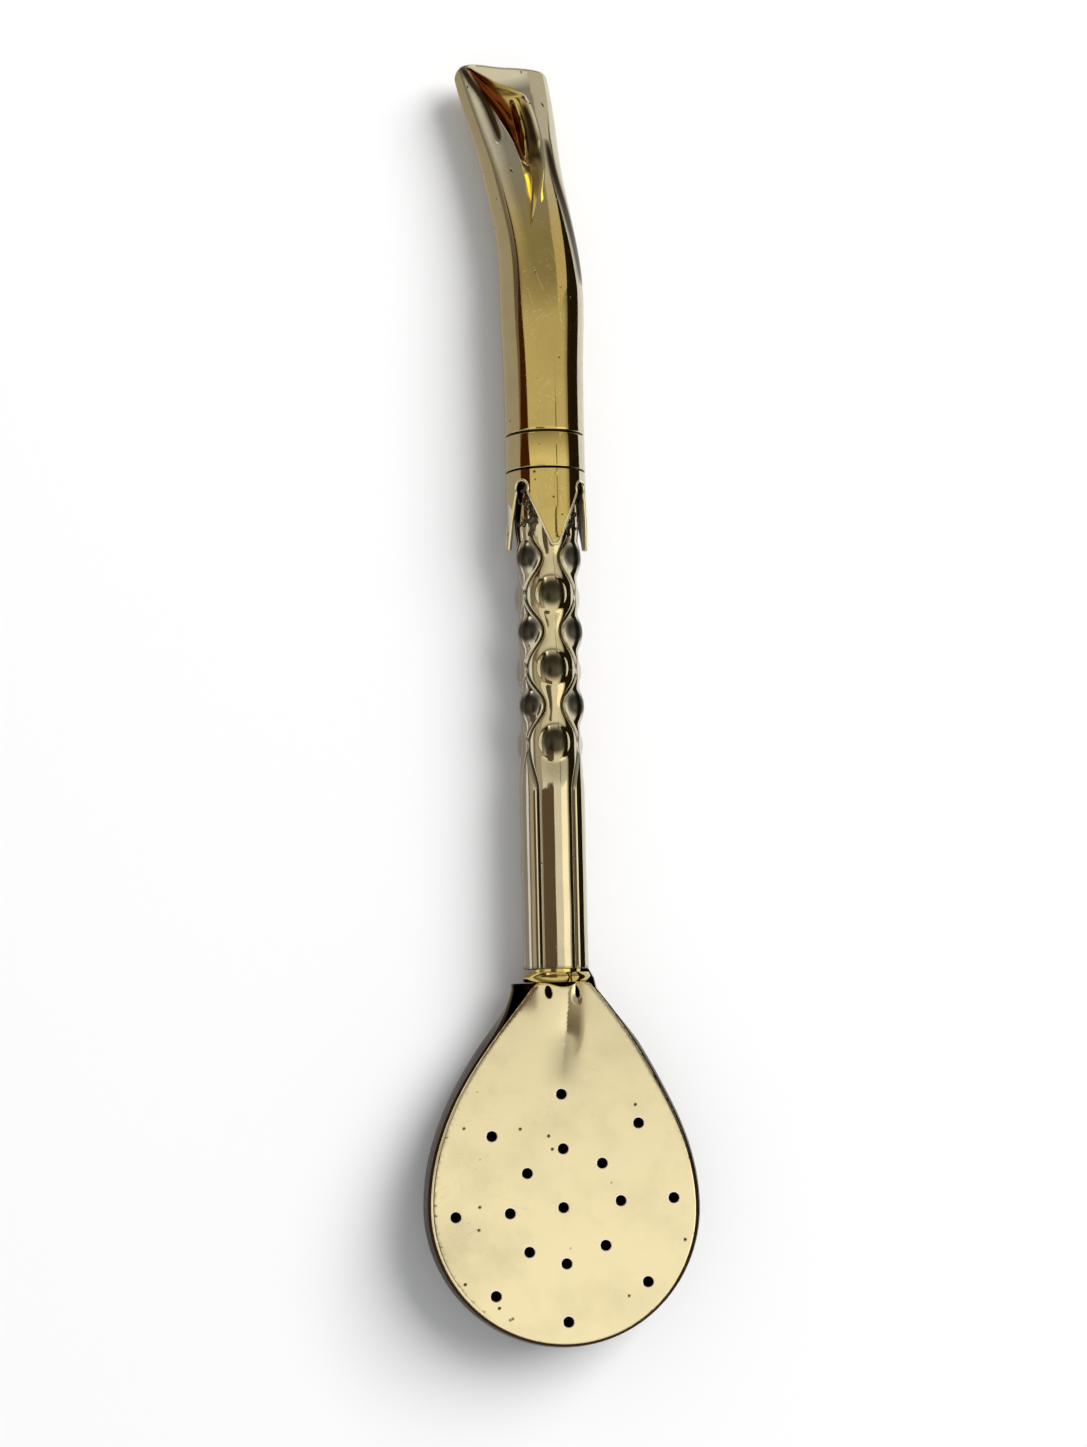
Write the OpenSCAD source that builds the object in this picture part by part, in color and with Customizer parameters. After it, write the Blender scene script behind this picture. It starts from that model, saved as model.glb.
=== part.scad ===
// Bombilla: a straw for mate with a flattened beak, a turned ring, a petal collar, an embossed
// six-lobed stem and a spoon-shaped strainer. It lies on its back along Y, with the beak at +Y,
// the strainer at -Y and the sieve facing +Z. Heights along the stem start at its lower end.

/* [Stem] */
// Length of the stem tube
stem_len = 69; // [64:0.5:80]
// Radius of the stem over its lobes
stem_r = 4.65; // [4.4:0.05:4.8]
// Radius of the bore that both plugs push into
stem_bore_r = 3.5; // [3.2:0.05:3.7]
// Number of lobes round the stem
lobe_count = 6; // [4:2:8]
// Depth of the pressed grooves between the lobes
groove_depth = 0.55; // [0.2:0.05:0.6]
// Width of a pressed groove
groove_w = 1.5; // [1:0.1:2]
// Spacing of the domes in one column
dome_pitch = 10.4; // [9:0.1:11]
// Number of domes in one column
dome_rows = 3; // [2:1:3]
// Radius of a dome at its foot
dome_r = 2.1; // [1.6:0.1:2.4]
// Height of a dome above the lobes
dome_h = 0.9; // [0.4:0.05:0.95]
// Angle by which a groove swings round the domes
groove_swing = 19; // [8:1:20]

/* [Collar] */
// Outer radius of the collar, the ring and the foot of the beak
collar_r = 5.65; // [5.6:0.05:6]
// Thickness of the collar's sheet
collar_wall = 0.5; // [0.3:0.05:0.6]
// Length of the collar from its top edge to the petal tips
collar_len = 10.7; // [9:0.1:12]
// Length of the petals
petal_len = 8.7; // [7:0.1:9]
// Number of petals
petal_count = 4; // [3:1:6]
// Width of a petal at its tip
petal_tip_w = 0.8; // [0.5:0.1:1.5]
// Radius of the round eye at the top of each notch
notch_eye_r = 0.65; // [0.4:0.05:0.8]
// Depth to which the bush sits over the stem's end
bush_grip = 0.8; // [0.5:0.1:1.2]
// Height of the bush above the stem's end
bush_head = 1; // [0.6:0.1:2]

/* [Mouthpiece] */
// Height of the turned ring
ring_h = 5.2; // [4:0.1:8]
// Height of the step that carries the beak
ring_step_h = 3; // [2:0.1:5]
// Width and depth of the turned line under the beak
ring_line = 0.3; // [0.2:0.05:0.5]
// Length of the beak above the ring
beak_len = 53.5; // [45:0.1:60]
// Thickness of the beak's wall
beak_wall = 0.7; // [0.5:0.05:0.8]
// Half of the beak's width at the tip
tip_half_w = 6.7; // [6:0.1:7.5]
// Half of the beak's thickness at the tip
tip_half_t = 3.1; // [2.9:0.1:3.6]
// Angle by which the beak bends to its side
beak_bend = 10.5; // [0:0.5:16]
// Depth of the hollow pressed into the front of the tip
tip_hollow = 2.4; // [1:0.1:2.6]
// Distance by which the hollow lies off the middle
hollow_shift = 1.2; // [0:0.1:1.5]

/* [Plugs] */
// Thickness of the plugs' tube
plug_wall = 0.6; // [0.4:0.05:0.7]
// Depth to which each plug enters the stem
plug_depth = 12; // [8:0.5:16]
// Clearance of a plug in the stem's bore
plug_clear = 0.05; // [0.02:0.01:0.1]
// Clearance for solder in the fixed fits
solder_clear = 0.02; // [0.01:0.01:0.05]
// Clearance of the ring's step inside the beak
step_clear = 0.1; // [0.08:0.01:0.2]
// Gap that shows as a dark line where two bodies meet
seam = 0.3; // [0.2:0.05:0.4]

/* [Strainer] */
// Half of the sieve's width
sieve_half_w = 18.2; // [16:0.1:22]
// Distance from the sieve's lip to its widest place
sieve_shoulder = 29.7; // [26:0.1:34]
// Half of the sieve's width at its lip
lip_half_w = 4.15; // [3.6:0.05:4.8]
// Thickness of the sieve
sieve_t = 0.8; // [0.6:0.05:1.2]
// Height of the sieve's underside over the stem's axis, at the lip
lip_rise = 1; // [0.5:0.1:1.6]
// Gap between the shoulder ring and the sieve's lip
lip_gap = 0.1; // [0.1:0.05:0.3]
// Angle by which the sieve lifts from the stem
sieve_tilt = 6; // [2:0.5:8]
// Height of the fold that runs down from the lip
fold_h = 1.3; // [0.6:0.1:1.6]
// Length of the fold
fold_len = 12; // [9:0.5:15]
// Radius of the sieve's holes
hole_r = 0.7; // [0.5:0.05:1]
// Radius of the inner circle of holes
hole_ring_in = 7.8; // [6:0.1:9]
// Radius of the outer circle of holes
hole_ring_out = 15.3; // [13:0.1:16]
// Number of holes on each circle
hole_count = 8; // [6:1:10]
// Half width of the slots by the lip
slot_r = 0.5; // [0.4:0.05:0.6]
// Length of the slots
slot_len = 1.9; // [1.4:0.1:2.2]
// Distance of the slots from the middle
slot_x = 2; // [1.6:0.1:2.4]
// Thickness of the dish's wall
dish_wall = 0.7; // [0.5:0.05:0.8]
// Ledge of the dish outside the sieve's edge
dish_ledge = 0.4; // [0.2:0.05:0.5]
// Push that rounds the dish's side out below its rim
dish_swell = 1.5; // [0:0.1:2]
// Share of the dish's width that is flat underneath
dish_flat = 0.45; // [0.35:0.05:0.6]
// Height of the shoulder ring under the stem
neck_ring_h = 1.7; // [1.2:0.1:2.4]
// Bevel on the shoulder ring
neck_bevel = 0.3; // [0.1:0.05:0.5]
// Length of the dish's wings beside the stem's end
wing_len = 0.8; // [0.4:0.1:1.5]
// Clearance of the wings beside the stem
wing_clear = 0.25; // [0.2:0.05:0.4]
// Clearance of the shoulder ring in the dish's neck
neck_clear = 0.15; // [0.05:0.05:0.2]

/* [Hidden] */
$fn = 96;
BRASS = "#c9a85f";
PALE_BRASS = "#e6d6a4";
NICKEL_SILVER = "#d2c9ae";

// Heights along the stem
collar_top = stem_len + bush_head;
ring_base = collar_top + seam;
beak_base = ring_base + ring_h;
beak_tip = beak_base + beak_len;
petal_tip = collar_top - collar_len;
notch_top = petal_tip + petal_len;
lip_drop = seam + neck_ring_h + lip_gap + (sieve_t + fold_h) * sin(sieve_tilt);

// Radii that follow from the fits
plug_r = stem_bore_r - plug_clear;
plug_seat_r = plug_r + solder_clear;
step_r = collar_r - beak_wall - step_clear;
bush_r = collar_r - collar_wall - solder_clear;
bush_seat_r = stem_r + solder_clear;
neck_half_w = stem_r + wing_clear + dish_wall;
neck_ring_r = neck_half_w - dish_wall - neck_clear;
dish_half_w = sieve_half_w + dish_ledge;

// Section of the dish: distance from its spine at each row between the rim and the flat foot
DISH_ROWS = 9;
DISH_FULLNESS = 0.75;
function row_turn(row) = 90 * row / (DISH_ROWS - 1);
function dish_out(half, wall, row, swell) = let (flat = dish_flat * half)
    flat + (half - wall - flat) * pow(cos(row_turn(row)), DISH_FULLNESS)
    + swell * dish_swell * sin(2 * row_turn(row));

// Place of the stem and the sieve in the frame
axis_z = max(collar_r, neck_half_w, stem_r + dome_h);
dish_tip_out = max([for (i = [0 : DISH_ROWS - 1]) dish_out(dish_half_w, 0, i, 1)]);
strainer_reach = lip_drop + (sieve_shoulder + dish_tip_out) * cos(sieve_tilt);
foot_y = (strainer_reach - beak_tip) / 2;
lip_y = foot_y - lip_drop;
lip_z = axis_z + lip_rise;

function smooth(t) = t <= 0 ? 0 : t >= 1 ? 1 : t * t * (3 - 2 * t);
function bell(t) = exp(-t * t);
function turn(a) = abs(a - 360 * round(a / 360));
function flip(faces) = [for (f = faces) [for (i = [len(f) - 1 : -1 : 0]) f[i]]];

// Triangles between neighbouring rows of a grid of points, each row closed on itself or open
function strip_faces(rows, cols, start, closed) = [
    for (i = [0 : rows - 2], j = [0 : cols - (closed ? 1 : 2)])
        let (a = start + i * cols + j, b = start + i * cols + (j + 1) % cols)
            each [[a, a + cols, b], [b, a + cols, b + cols]]
];

module along_stem() {
    translate([0, foot_y, axis_z]) rotate([-90, 0, 0]) children();
}

// Stem: lobes, grooves that swing round the domes, and domes in alternate rows
STEM_SIDES = 60;
RELIEF_STEP = 0.75;
RELIEF_RUN = 0.65;
// Roundness of a dome's section, and share of the highest domes' radius that shows below the petal tips
DOME_FULLNESS = 0.75;
DOME_SHOWN = 0.86;
lobe_turn = 360 / lobe_count;
last_dome = petal_tip - DOME_SHOWN * dome_r;
first_dome = last_dome - (dome_rows - 0.5) * dome_pitch;
relief_low = first_dome - RELIEF_RUN * dome_pitch;
relief_high = min(last_dome + dome_pitch / 2, stem_len - bush_grip);
relief_rows = ceil((relief_high - relief_low) / RELIEF_STEP);
stem_heights = [
    0,
    for (i = [0 : relief_rows]) relief_low + i * (relief_high - relief_low) / relief_rows,
    stem_len
];

function swing(h) = groove_swing
    * smooth((h - relief_low) / (first_dome - relief_low))
    * (1 - smooth((h - last_dome) / (relief_high - last_dome)))
    * (h < first_dome ? 1 : cos(360 * (h - first_dome) / dome_pitch));

function groove(a, h) = max([
    for (k = [0 : lobe_count - 1])
        let (line = (k + 0.5) * lobe_turn + (k % 2 == 0 ? 1 : -1) * swing(h))
            bell(turn(a - line) * PI / 180 * stem_r / (groove_w / 2))
]);

function dome(a, h) = max([
    for (k = [0 : lobe_count - 1], i = [0 : dome_rows - 1])
        let (
            across = turn(a - k * lobe_turn) * PI / 180 * stem_r,
            along = h - first_dome - (i + (k % 2) / 2) * dome_pitch,
            far = (across * across + along * along) / (dome_r * dome_r)
        )
            far < 1 ? pow(1 - far, DOME_FULLNESS) : 0
]);

function stem_radius(a, h) = stem_r - groove_depth * groove(a, h) + dome_h * dome(a, h);

module stem_tube() {
    points = [
        for (h = stem_heights, i = [0 : STEM_SIDES - 1])
            let (a = i * 360 / STEM_SIDES, r = stem_radius(a, h))
                [r * sin(a), -r * cos(a), h]
    ];
    last = len(points) - STEM_SIDES;
    faces = concat(
        strip_faces(len(stem_heights), STEM_SIDES, 0, true),
        [[for (i = [0 : STEM_SIDES - 1]) i]],
        [[for (i = [STEM_SIDES - 1 : -1 : 0]) last + i]]
    );
    color(NICKEL_SILVER) along_stem() difference() {
        polyhedron(points, faces, convexity = 6);
        translate([0, 0, -1]) cylinder(r = stem_bore_r, h = stem_len + 2);
    }
}

// Collar with pointed petals, cut from a tube by notches with a round eye
module petal_notch() {
    apex = notch_top - notch_eye_r;
    low = petal_tip - 1;
    reach = collar_r * sin(180 / petal_count) - petal_tip_w / 2;
    half = reach * (apex - low) / (apex - petal_tip);
    rotate([90, 0, 0]) linear_extrude(collar_r + 1) {
        polygon([[0, apex], [half, low], [-half, low]]);
        translate([0, apex]) circle(notch_eye_r);
    }
}

module petal_collar() {
    color(BRASS) along_stem() difference() {
        translate([0, 0, petal_tip]) cylinder(r = collar_r, h = collar_len);
        translate([0, 0, petal_tip - 1]) cylinder(r = collar_r - collar_wall, h = collar_len + 2);
        for (i = [0 : petal_count - 1]) rotate([0, 0, (i + 0.5) * 360 / petal_count]) petal_notch();
    }
}

module collar_bush() {
    color(BRASS) along_stem() rotate_extrude()
        polygon([[stem_bore_r, stem_len], [bush_seat_r, stem_len],
            [bush_seat_r, stem_len - bush_grip], [bush_r, stem_len - bush_grip],
            [bush_r, collar_top], [stem_bore_r, collar_top]]);
}

// Tube that pushes into the stem
module plug_tube(low, high) {
    along_stem() translate([0, 0, low]) difference() {
        cylinder(r = plug_r, h = high - low);
        translate([0, 0, -1]) cylinder(r = plug_r - plug_wall, h = high - low + 2);
    }
}

// Ring with a bore for its plug, a turned line at its top and a step that carries the beak
module beak_ring() {
    line_base = beak_base - ring_line;
    color(BRASS) along_stem() rotate_extrude()
        polygon([[plug_seat_r, ring_base], [collar_r, ring_base], [collar_r, line_base],
            [collar_r - ring_line, line_base], [collar_r - ring_line, beak_base],
            [step_r, beak_base], [step_r, beak_base + ring_step_h],
            [plug_seat_r, beak_base + ring_step_h]]);
}

module beak_plug() {
    color(BRASS) plug_tube(ring_base - plug_depth, beak_base + ring_step_h);
}

// Beak: sections that bend to one side, flatten, and are pressed in at the front
BEAK_SIDES = 48;
BEAK_ROWS = 28;
// Places along the beak, as shares of its length
BEND_FROM = 0.33;
BEND_SPAN = 0.29;
FLATTEN_FROM = 0.3;
FULL_AT = 0.36;
FLARE_FROM = 0.69;
HOLLOW_FROM = 0.5;
HOLLOW_SPAN = 0.42;
// Spread of the full place, how far it stands out, and the hollow's least and added width
SPREAD = 0.14;
FULLER = 0.35;
HOLLOW_LEAST = 1.2;
HOLLOW_ADDED = 2.4;

// Sideways path of the beak: straight, then a bend, then straight at the bend's angle
function bend_path(t) = let (u = (t - BEND_FROM) / BEND_SPAN)
    u <= 0 ? 0 : u < 1 ? BEND_SPAN * (pow(u, 3) - pow(u, 4) / 2) : BEND_SPAN * (u - 0.5);
function beak_half_w(t) = collar_r
    + FULLER * bell((t - FULL_AT) / SPREAD)
    + (tip_half_w - collar_r) * smooth((t - FLARE_FROM) / (1 - FLARE_FROM));
function beak_half_t(t) = collar_r
    + (tip_half_t - collar_r) * smooth((t - FLATTEN_FROM) / (1 - FLATTEN_FROM));
function hollow(t, x, front) = front <= 0 ? 0 : let (grown = smooth((t - HOLLOW_FROM) / HOLLOW_SPAN))
    tip_hollow * sqrt(front) * grown
    * bell((x - hollow_shift * grown) / (HOLLOW_LEAST + HOLLOW_ADDED * grown));

function beak_section(t, inset) = [
    for (i = [0 : BEAK_SIDES - 1])
        let (
            a = i * 360 / BEAK_SIDES,
            x = (beak_half_w(t) - inset) * sin(a),
            z = (beak_half_t(t) - inset) * cos(a) - hollow(t, x, cos(a))
        )
            [x - beak_len * tan(beak_bend) * bend_path(t), -z, beak_base + t * beak_len]
];

module beak_tube() {
    steps = [for (i = [0 : BEAK_ROWS - 1]) i / (BEAK_ROWS - 1)];
    points = [for (inset = [0, beak_wall], t = steps) each beak_section(t, inset)];
    inner = BEAK_ROWS * BEAK_SIDES;
    top = inner - BEAK_SIDES;
    foot_edge = [for (j = [0 : BEAK_SIDES - 1]) let (k = (j + 1) % BEAK_SIDES)
        each [[j, k, inner + j], [k, inner + k, inner + j]]];
    lip_edge = [for (j = [0 : BEAK_SIDES - 1]) let (k = (j + 1) % BEAK_SIDES)
        each [[top + j, inner + top + j, top + k], [top + k, inner + top + j, inner + top + k]]];
    faces = concat(
        strip_faces(BEAK_ROWS, BEAK_SIDES, 0, true),
        flip(strip_faces(BEAK_ROWS, BEAK_SIDES, inner, true)),
        foot_edge,
        lip_edge
    );
    color(BRASS) along_stem() polyhedron(points, faces, convexity = 6);
}

module neck_plug() {
    color(BRASS) plug_tube(-seam - neck_ring_h, plug_depth);
}

// Shoulder that the stem's end seats on
module neck_ring() {
    low = -seam - neck_ring_h;
    color(BRASS) along_stem() rotate_extrude()
        polygon([[plug_seat_r, low], [neck_ring_r, low], [neck_ring_r, low + neck_ring_h / 2],
            [neck_ring_r - neck_bevel, -seam - neck_bevel], [neck_ring_r - neck_bevel, -seam],
            [plug_seat_r, -seam]]);
}

// Strainer outline: distance w runs from the lip down the sieve
SIDE_STEPS = 12;
ARC_STEPS = 12;
lip_angle = acos(lip_half_w / sieve_half_w);
function sieve_half(w) = sieve_half_w * cos(lip_angle * (sieve_shoulder - w) / sieve_shoulder);
function mirrored(right) = concat(right, [for (i = [len(right) - 2 : -1 : 0]) [-right[i][0], right[i][1]]]);

// Sieve: a folded strip with two slots, and one flat field below it that is pierced by holes
FOLD_ROWS = 10;
FOLD_COLS = 17;
// Roundness of the fold's section, and how closely its points bunch at the middle
FOLD_ROUND = 1.5;
FOLD_BUNCH = 1.6;
function fold(x, w) = let (
        fade = 1 - smooth(w / fold_len),
        wide = lip_half_w - (lip_half_w - slot_x) * w / fold_len,
        across = min(1, abs(x) / wide)
    )
    fold_h * fade * pow(1 - across * across, FOLD_ROUND);

// Upper part of the sieve, from the lip to the end of the fold
module folded_strip() {
    front = [
        for (i = [0 : FOLD_ROWS - 1], j = [0 : FOLD_COLS - 1])
            let (
                w = fold_len * i / (FOLD_ROWS - 1),
                side = 2 * j / (FOLD_COLS - 1) - 1,
                x = sieve_half(w) * sign(side) * pow(abs(side), FOLD_BUNCH)
            )
                [x, -w, fold(x, w)]
    ];
    back = len(front);
    low_row = back - FOLD_COLS;
    rim = concat(
        [for (j = [0 : FOLD_COLS - 1]) j],
        [for (i = [1 : FOLD_ROWS - 1]) i * FOLD_COLS + FOLD_COLS - 1],
        [for (j = [FOLD_COLS - 2 : -1 : 0]) low_row + j],
        [for (i = [FOLD_ROWS - 2 : -1 : 1]) i * FOLD_COLS]
    );
    upper = flip(strip_faces(FOLD_ROWS, FOLD_COLS, 0, false));
    edge = [for (i = [0 : len(rim) - 1]) let (a = rim[i], b = rim[(i + 1) % len(rim)])
        each [[a, back + a, b], [b, back + a, back + b]]];
    points = concat([for (p = front) p + [0, 0, sieve_t]], front);
    polyhedron(points, concat(upper, flip([for (f = upper) [for (v = f) v + back]]), edge), convexity = 6);
}

// Lower part of the sieve, from the end of the fold to the tip
module flat_field() {
    right = concat(
        [for (i = [0 : SIDE_STEPS]) let (w = fold_len + (sieve_shoulder - fold_len) * i / SIDE_STEPS)
            [sieve_half(w), -w]],
        [for (i = [1 : ARC_STEPS]) let (a = 90 * i / ARC_STEPS)
            [sieve_half_w * cos(a), -sieve_shoulder - sieve_half_w * sin(a)]]
    );
    linear_extrude(sieve_t) polygon(mirrored(right));
}

module sieve_holes() {
    deep = 3 * sieve_t;
    translate([0, -sieve_shoulder, -sieve_t]) {
        cylinder(r = hole_r, h = deep);
        for (ring = [hole_ring_in, hole_ring_out], i = [0 : hole_count - 1])
            rotate([0, 0, 90 + i * 360 / hole_count])
                translate([ring, 0, 0]) cylinder(r = hole_r, h = deep);
    }
}

module lip_slots() {
    deep = 2 * (sieve_t + fold_h);
    half = slot_len / 2 - slot_r;
    for (side = [-1, 1]) translate([side * slot_x, -slot_len, -sieve_t]) {
        for (end = [-half, half]) translate([0, end, 0]) cylinder(r = slot_r, h = deep);
        translate([-slot_r, -half, 0]) cube([2 * slot_r, 2 * half, deep]);
    }
}

module sieve_plate() {
    color(PALE_BRASS) translate([0, lip_y, lip_z]) rotate([-sieve_tilt, 0, 0]) {
        difference() {
            flat_field();
            sieve_holes();
        }
        difference() {
            folded_strip();
            lip_slots();
        }
    }
}

// Dish: rows from the rim down to a flat foot, on a path from one wing round the tip to the other
// Distances below the lip in which the neck widens into the dish and its side begins to swell
NECK_RUN = 6;
SWELL_FROM = 8;
wing_w = -lip_drop - wing_len;
neck_gain = neck_half_w + dish_ledge - lip_half_w;
function dish_half(w) = w < 0 ? neck_half_w + dish_ledge * (1 - w / wing_w)
    : sieve_half(w) + dish_ledge + (neck_gain - dish_ledge) * pow(max(0, 1 - w / NECK_RUN), 2);

// Each place on the path has a centre on the spine and a direction that points out of the dish
dish_path = let (
        sides = [for (i = [0 : SIDE_STEPS]) sieve_shoulder * i / SIDE_STEPS],
        right = [
            for (w = concat([wing_w], sides)) [[0, w], [1, 0], dish_half(w)],
            for (i = [1 : ARC_STEPS]) let (a = 90 * i / ARC_STEPS)
                [[0, sieve_shoulder], [cos(a), sin(a)], dish_half_w]
        ],
        left = [for (i = [len(right) - 2 : -1 : 0])
            let (p = right[i]) [p[0], [-p[1][0], p[1][1]], p[2]]]
    )
    concat(right, left);

function dish_row(row, wall) = [
    for (p = dish_path)
        let (
            place = p[0] + dish_out(p[2], wall, row, smooth(p[0][1] / SWELL_FROM)) * p[1],
            edge = p[0] + p[2] * p[1],
            rim_z = lip_z + edge[1] * sin(sieve_tilt)
        )
            [place[0], lip_y - place[1] * cos(sieve_tilt), wall + (rim_z - wall) * (1 - sin(row_turn(row)))]
];

module strainer_dish() {
    cols = len(dish_path);
    points = [for (wall = [0, dish_wall], i = [0 : DISH_ROWS - 1])
        each dish_row(i, wall)];
    inner = DISH_ROWS * cols;
    foot = inner - cols;
    rim_edge = [for (j = [0 : cols - 2])
        each [[j, j + 1, inner + j], [j + 1, inner + j + 1, inner + j]]];
    neck_edge = [for (i = [0 : DISH_ROWS - 2])
        let (a = i * cols, b = a + cols, c = b - 1, d = c + cols)
            each [[a, inner + a, b], [b, inner + a, inner + b],
                [c, d, inner + c], [d, inner + d, inner + c]]];
    neck_sill = [[foot, inner + foot, foot + cols - 1],
        [foot + cols - 1, inner + foot, inner + foot + cols - 1]];
    faces = concat(
        strip_faces(DISH_ROWS, cols, 0, false),
        flip(strip_faces(DISH_ROWS, cols, inner, false)),
        rim_edge,
        neck_edge,
        neck_sill,
        [[for (j = [cols - 1 : -1 : 0]) foot + j]],
        [[for (j = [0 : cols - 1]) inner + foot + j]]
    );
    color(PALE_BRASS) polyhedron(points, faces, convexity = 6);
}

beak_tube();
beak_ring();
beak_plug();
petal_collar();
collar_bush();
stem_tube();
neck_plug();
neck_ring();
strainer_dish();
sieve_plate();
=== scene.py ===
"""Bombilla: the dressed model of a metal mate straw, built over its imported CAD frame."""

import math

import bmesh
import bpy
from bpy.props import FloatProperty, FloatVectorProperty, IntProperty, PointerProperty
from bpy.types import Operator, Panel, PropertyGroup
from mathutils import Euler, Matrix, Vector, noise
from mathutils.geometry import delaunay_2d_cdt


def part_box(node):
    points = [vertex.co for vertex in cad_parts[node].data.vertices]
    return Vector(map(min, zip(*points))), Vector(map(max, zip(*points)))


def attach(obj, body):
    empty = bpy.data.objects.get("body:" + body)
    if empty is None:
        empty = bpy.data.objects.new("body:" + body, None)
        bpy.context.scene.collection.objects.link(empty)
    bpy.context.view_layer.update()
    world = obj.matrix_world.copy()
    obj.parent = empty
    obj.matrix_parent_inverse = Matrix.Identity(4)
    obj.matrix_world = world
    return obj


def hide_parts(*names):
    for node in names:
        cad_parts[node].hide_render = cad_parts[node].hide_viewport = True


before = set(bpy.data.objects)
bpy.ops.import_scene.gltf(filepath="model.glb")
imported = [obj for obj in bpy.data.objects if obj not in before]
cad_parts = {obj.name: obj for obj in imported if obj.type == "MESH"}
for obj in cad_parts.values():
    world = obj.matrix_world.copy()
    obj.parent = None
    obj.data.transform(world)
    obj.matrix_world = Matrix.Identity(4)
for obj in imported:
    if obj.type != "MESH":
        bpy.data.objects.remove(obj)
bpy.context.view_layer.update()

bl_info = {
    "name": "Bombilla",
    "version": (1, 0, 0),
    "blender": (4, 5, 0),
    "location": "View3D > Sidebar > Bombilla",
    "description": "Metal mate straw with a bent beak, a petal collar, an embossed stem and a spoon strainer",
    "category": "Object",
}

MM = 0.001

# Places that the CAD solids give: every height runs along the stem from its lower end
STEM_LOW, STEM_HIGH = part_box("stem_tube")
RING_LOW, RING_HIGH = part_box("beak_ring")
BEAK_LOW, BEAK_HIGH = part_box("beak_tube")
COLLAR_LOW, COLLAR_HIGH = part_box("petal_collar")
BUSH_LOW, BUSH_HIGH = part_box("collar_bush")
NECK_LOW, NECK_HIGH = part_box("neck_ring")
BEAK_PLUG_LOW, BEAK_PLUG_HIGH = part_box("beak_plug")
NECK_PLUG_LOW, NECK_PLUG_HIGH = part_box("neck_plug")
SIEVE_LOW, SIEVE_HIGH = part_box("sieve_plate")
DISH_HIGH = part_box("strainer_dish")[1]
FOOT_Y = STEM_LOW.y
AXIS_Z = (RING_LOW.z + RING_HIGH.z) / 2


def size(name, text, default):
    """Return a length property."""
    return FloatProperty(name=name, description=text, default=default, unit="LENGTH", precision=5)


def angle(name, text, degrees):
    """Return an angle property."""
    return FloatProperty(name=name, description=text, default=math.radians(degrees), subtype="ANGLE")


def linear(hex_code):
    """Turn an sRGB hex colour into linear RGBA."""
    parts = [int(hex_code[i : i + 2], 16) / 255 for i in (1, 3, 5)]
    return tuple(c / 12.92 if c <= 0.04045 else ((c + 0.055) / 1.055) ** 2.4 for c in parts) + (1.0,)


def tint(name, text, hex_code):
    """Return a colour property."""
    return FloatVectorProperty(
        name=name, description=text, default=linear(hex_code), subtype="COLOR", size=4, min=0.0, max=1.0
    )


class StemSizes(PropertyGroup):
    """Sizes of the embossed stem."""

    length: size("Length", "Length of the stem tube", STEM_HIGH.y - STEM_LOW.y)
    radius: size("Radius", "Radius over the lobes", 4.65 * MM)
    bore: size("Bore", "Radius of the bore that the plugs push into", 3.5 * MM)
    lobes: IntProperty(name="Lobes", description="Number of lobes round the stem", default=6, min=4, max=8)
    groove_depth: size("Groove depth", "Depth of the pressed grooves", 0.4 * MM)
    groove_width: size("Groove width", "Width of a pressed groove", 0.46 * MM)
    bulge: size("Bulge", "Fall of a lobe from its middle to its grooves", 0.25 * MM)
    turn: angle("Turn", "Angle by which the stem stands turned in its fittings", 1)
    widen: angle("Widening", "Angle by which the front lobes are wider on each side than their share", 5)
    spread: angle("Spread", "Further widening of the front lobes along the domes", 4.25)
    swing: angle("Groove swing", "Angle by which a groove swings round the domes", 20.75)
    dome_pitch: size("Dome pitch", "Spacing of the domes in one column", 10.4 * MM)
    dome_rows: IntProperty(name="Dome rows", description="Domes in one column", default=3, min=1, max=4)
    dome_radius: size("Dome radius", "Radius of a dome's foot", 2.55 * MM)
    dome_height: size("Dome height", "Height of a dome above the lobes", 0.7 * MM)
    # The dark on a dome's crown is a painted reflection
    dome_crown: size("Dome crown", "Mean radius of the dark stain on a dome's crown", 1.6 * MM)
    relief: size("Relief", "Depth by which the lobes are pressed in between the domes", 0.4 * MM)


class CollarSizes(PropertyGroup):
    """Sizes of the petal collar."""

    radius: size("Radius", "Outer radius of the collar", 5.65 * MM)
    wall: size("Wall", "Thickness of the collar's sheet", 0.5 * MM)
    petals: IntProperty(name="Petals", description="Number of petals", default=4, min=3, max=6)
    petal_length: size("Petal length", "Length of the petals", 9.3 * MM)
    tip_width: size("Tip width", "Width of a petal at its tip", 0.8 * MM)
    eye_radius: size("Eye radius", "Radius of the eye at the top of a notch", 1.15 * MM)
    bead_radius: size("Bead radius", "Radius of the rolled edge round the petals", 0.2 * MM)
    scored: size("Scored line", "Width of the line scored down the front petal", 0.13 * MM)


class BeakSizes(PropertyGroup):
    """Sizes of the mouthpiece and its ring."""

    wall: size("Wall", "Thickness of the beak's wall", 0.7 * MM)
    tip_half_width: size("Tip half width", "Half of the beak's width at the tip", 6.7 * MM)
    tip_half_depth: size("Tip half depth", "Half of the beak's thickness at the tip", 3.1 * MM)
    bend: angle("Bend", "Angle by which the beak bends to its side", 10.5)
    hollow: size("Hollow", "Depth of the hollow pressed into the front of the tip", 2.5 * MM)
    pinch: size("Pinch", "Depth of the line pinched beside the hollow", 0.15 * MM)
    lip_length: size("Lip length", "Distance below the tip at which the front lip begins", 4 * MM)
    lip_flare: size("Lip flare", "Height by which the front lip stands out at the tip", 0.45 * MM)
    tip_slope: size("Tip slope", "Fall of the tip from its left corner to its right", 0.75 * MM)
    tip_corner: size("Tip corner", "Radius of the corners of the tip", 1.2 * MM)
    line: size("Turned line", "Width and depth of the turned line under the beak", 0.3 * MM)


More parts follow.
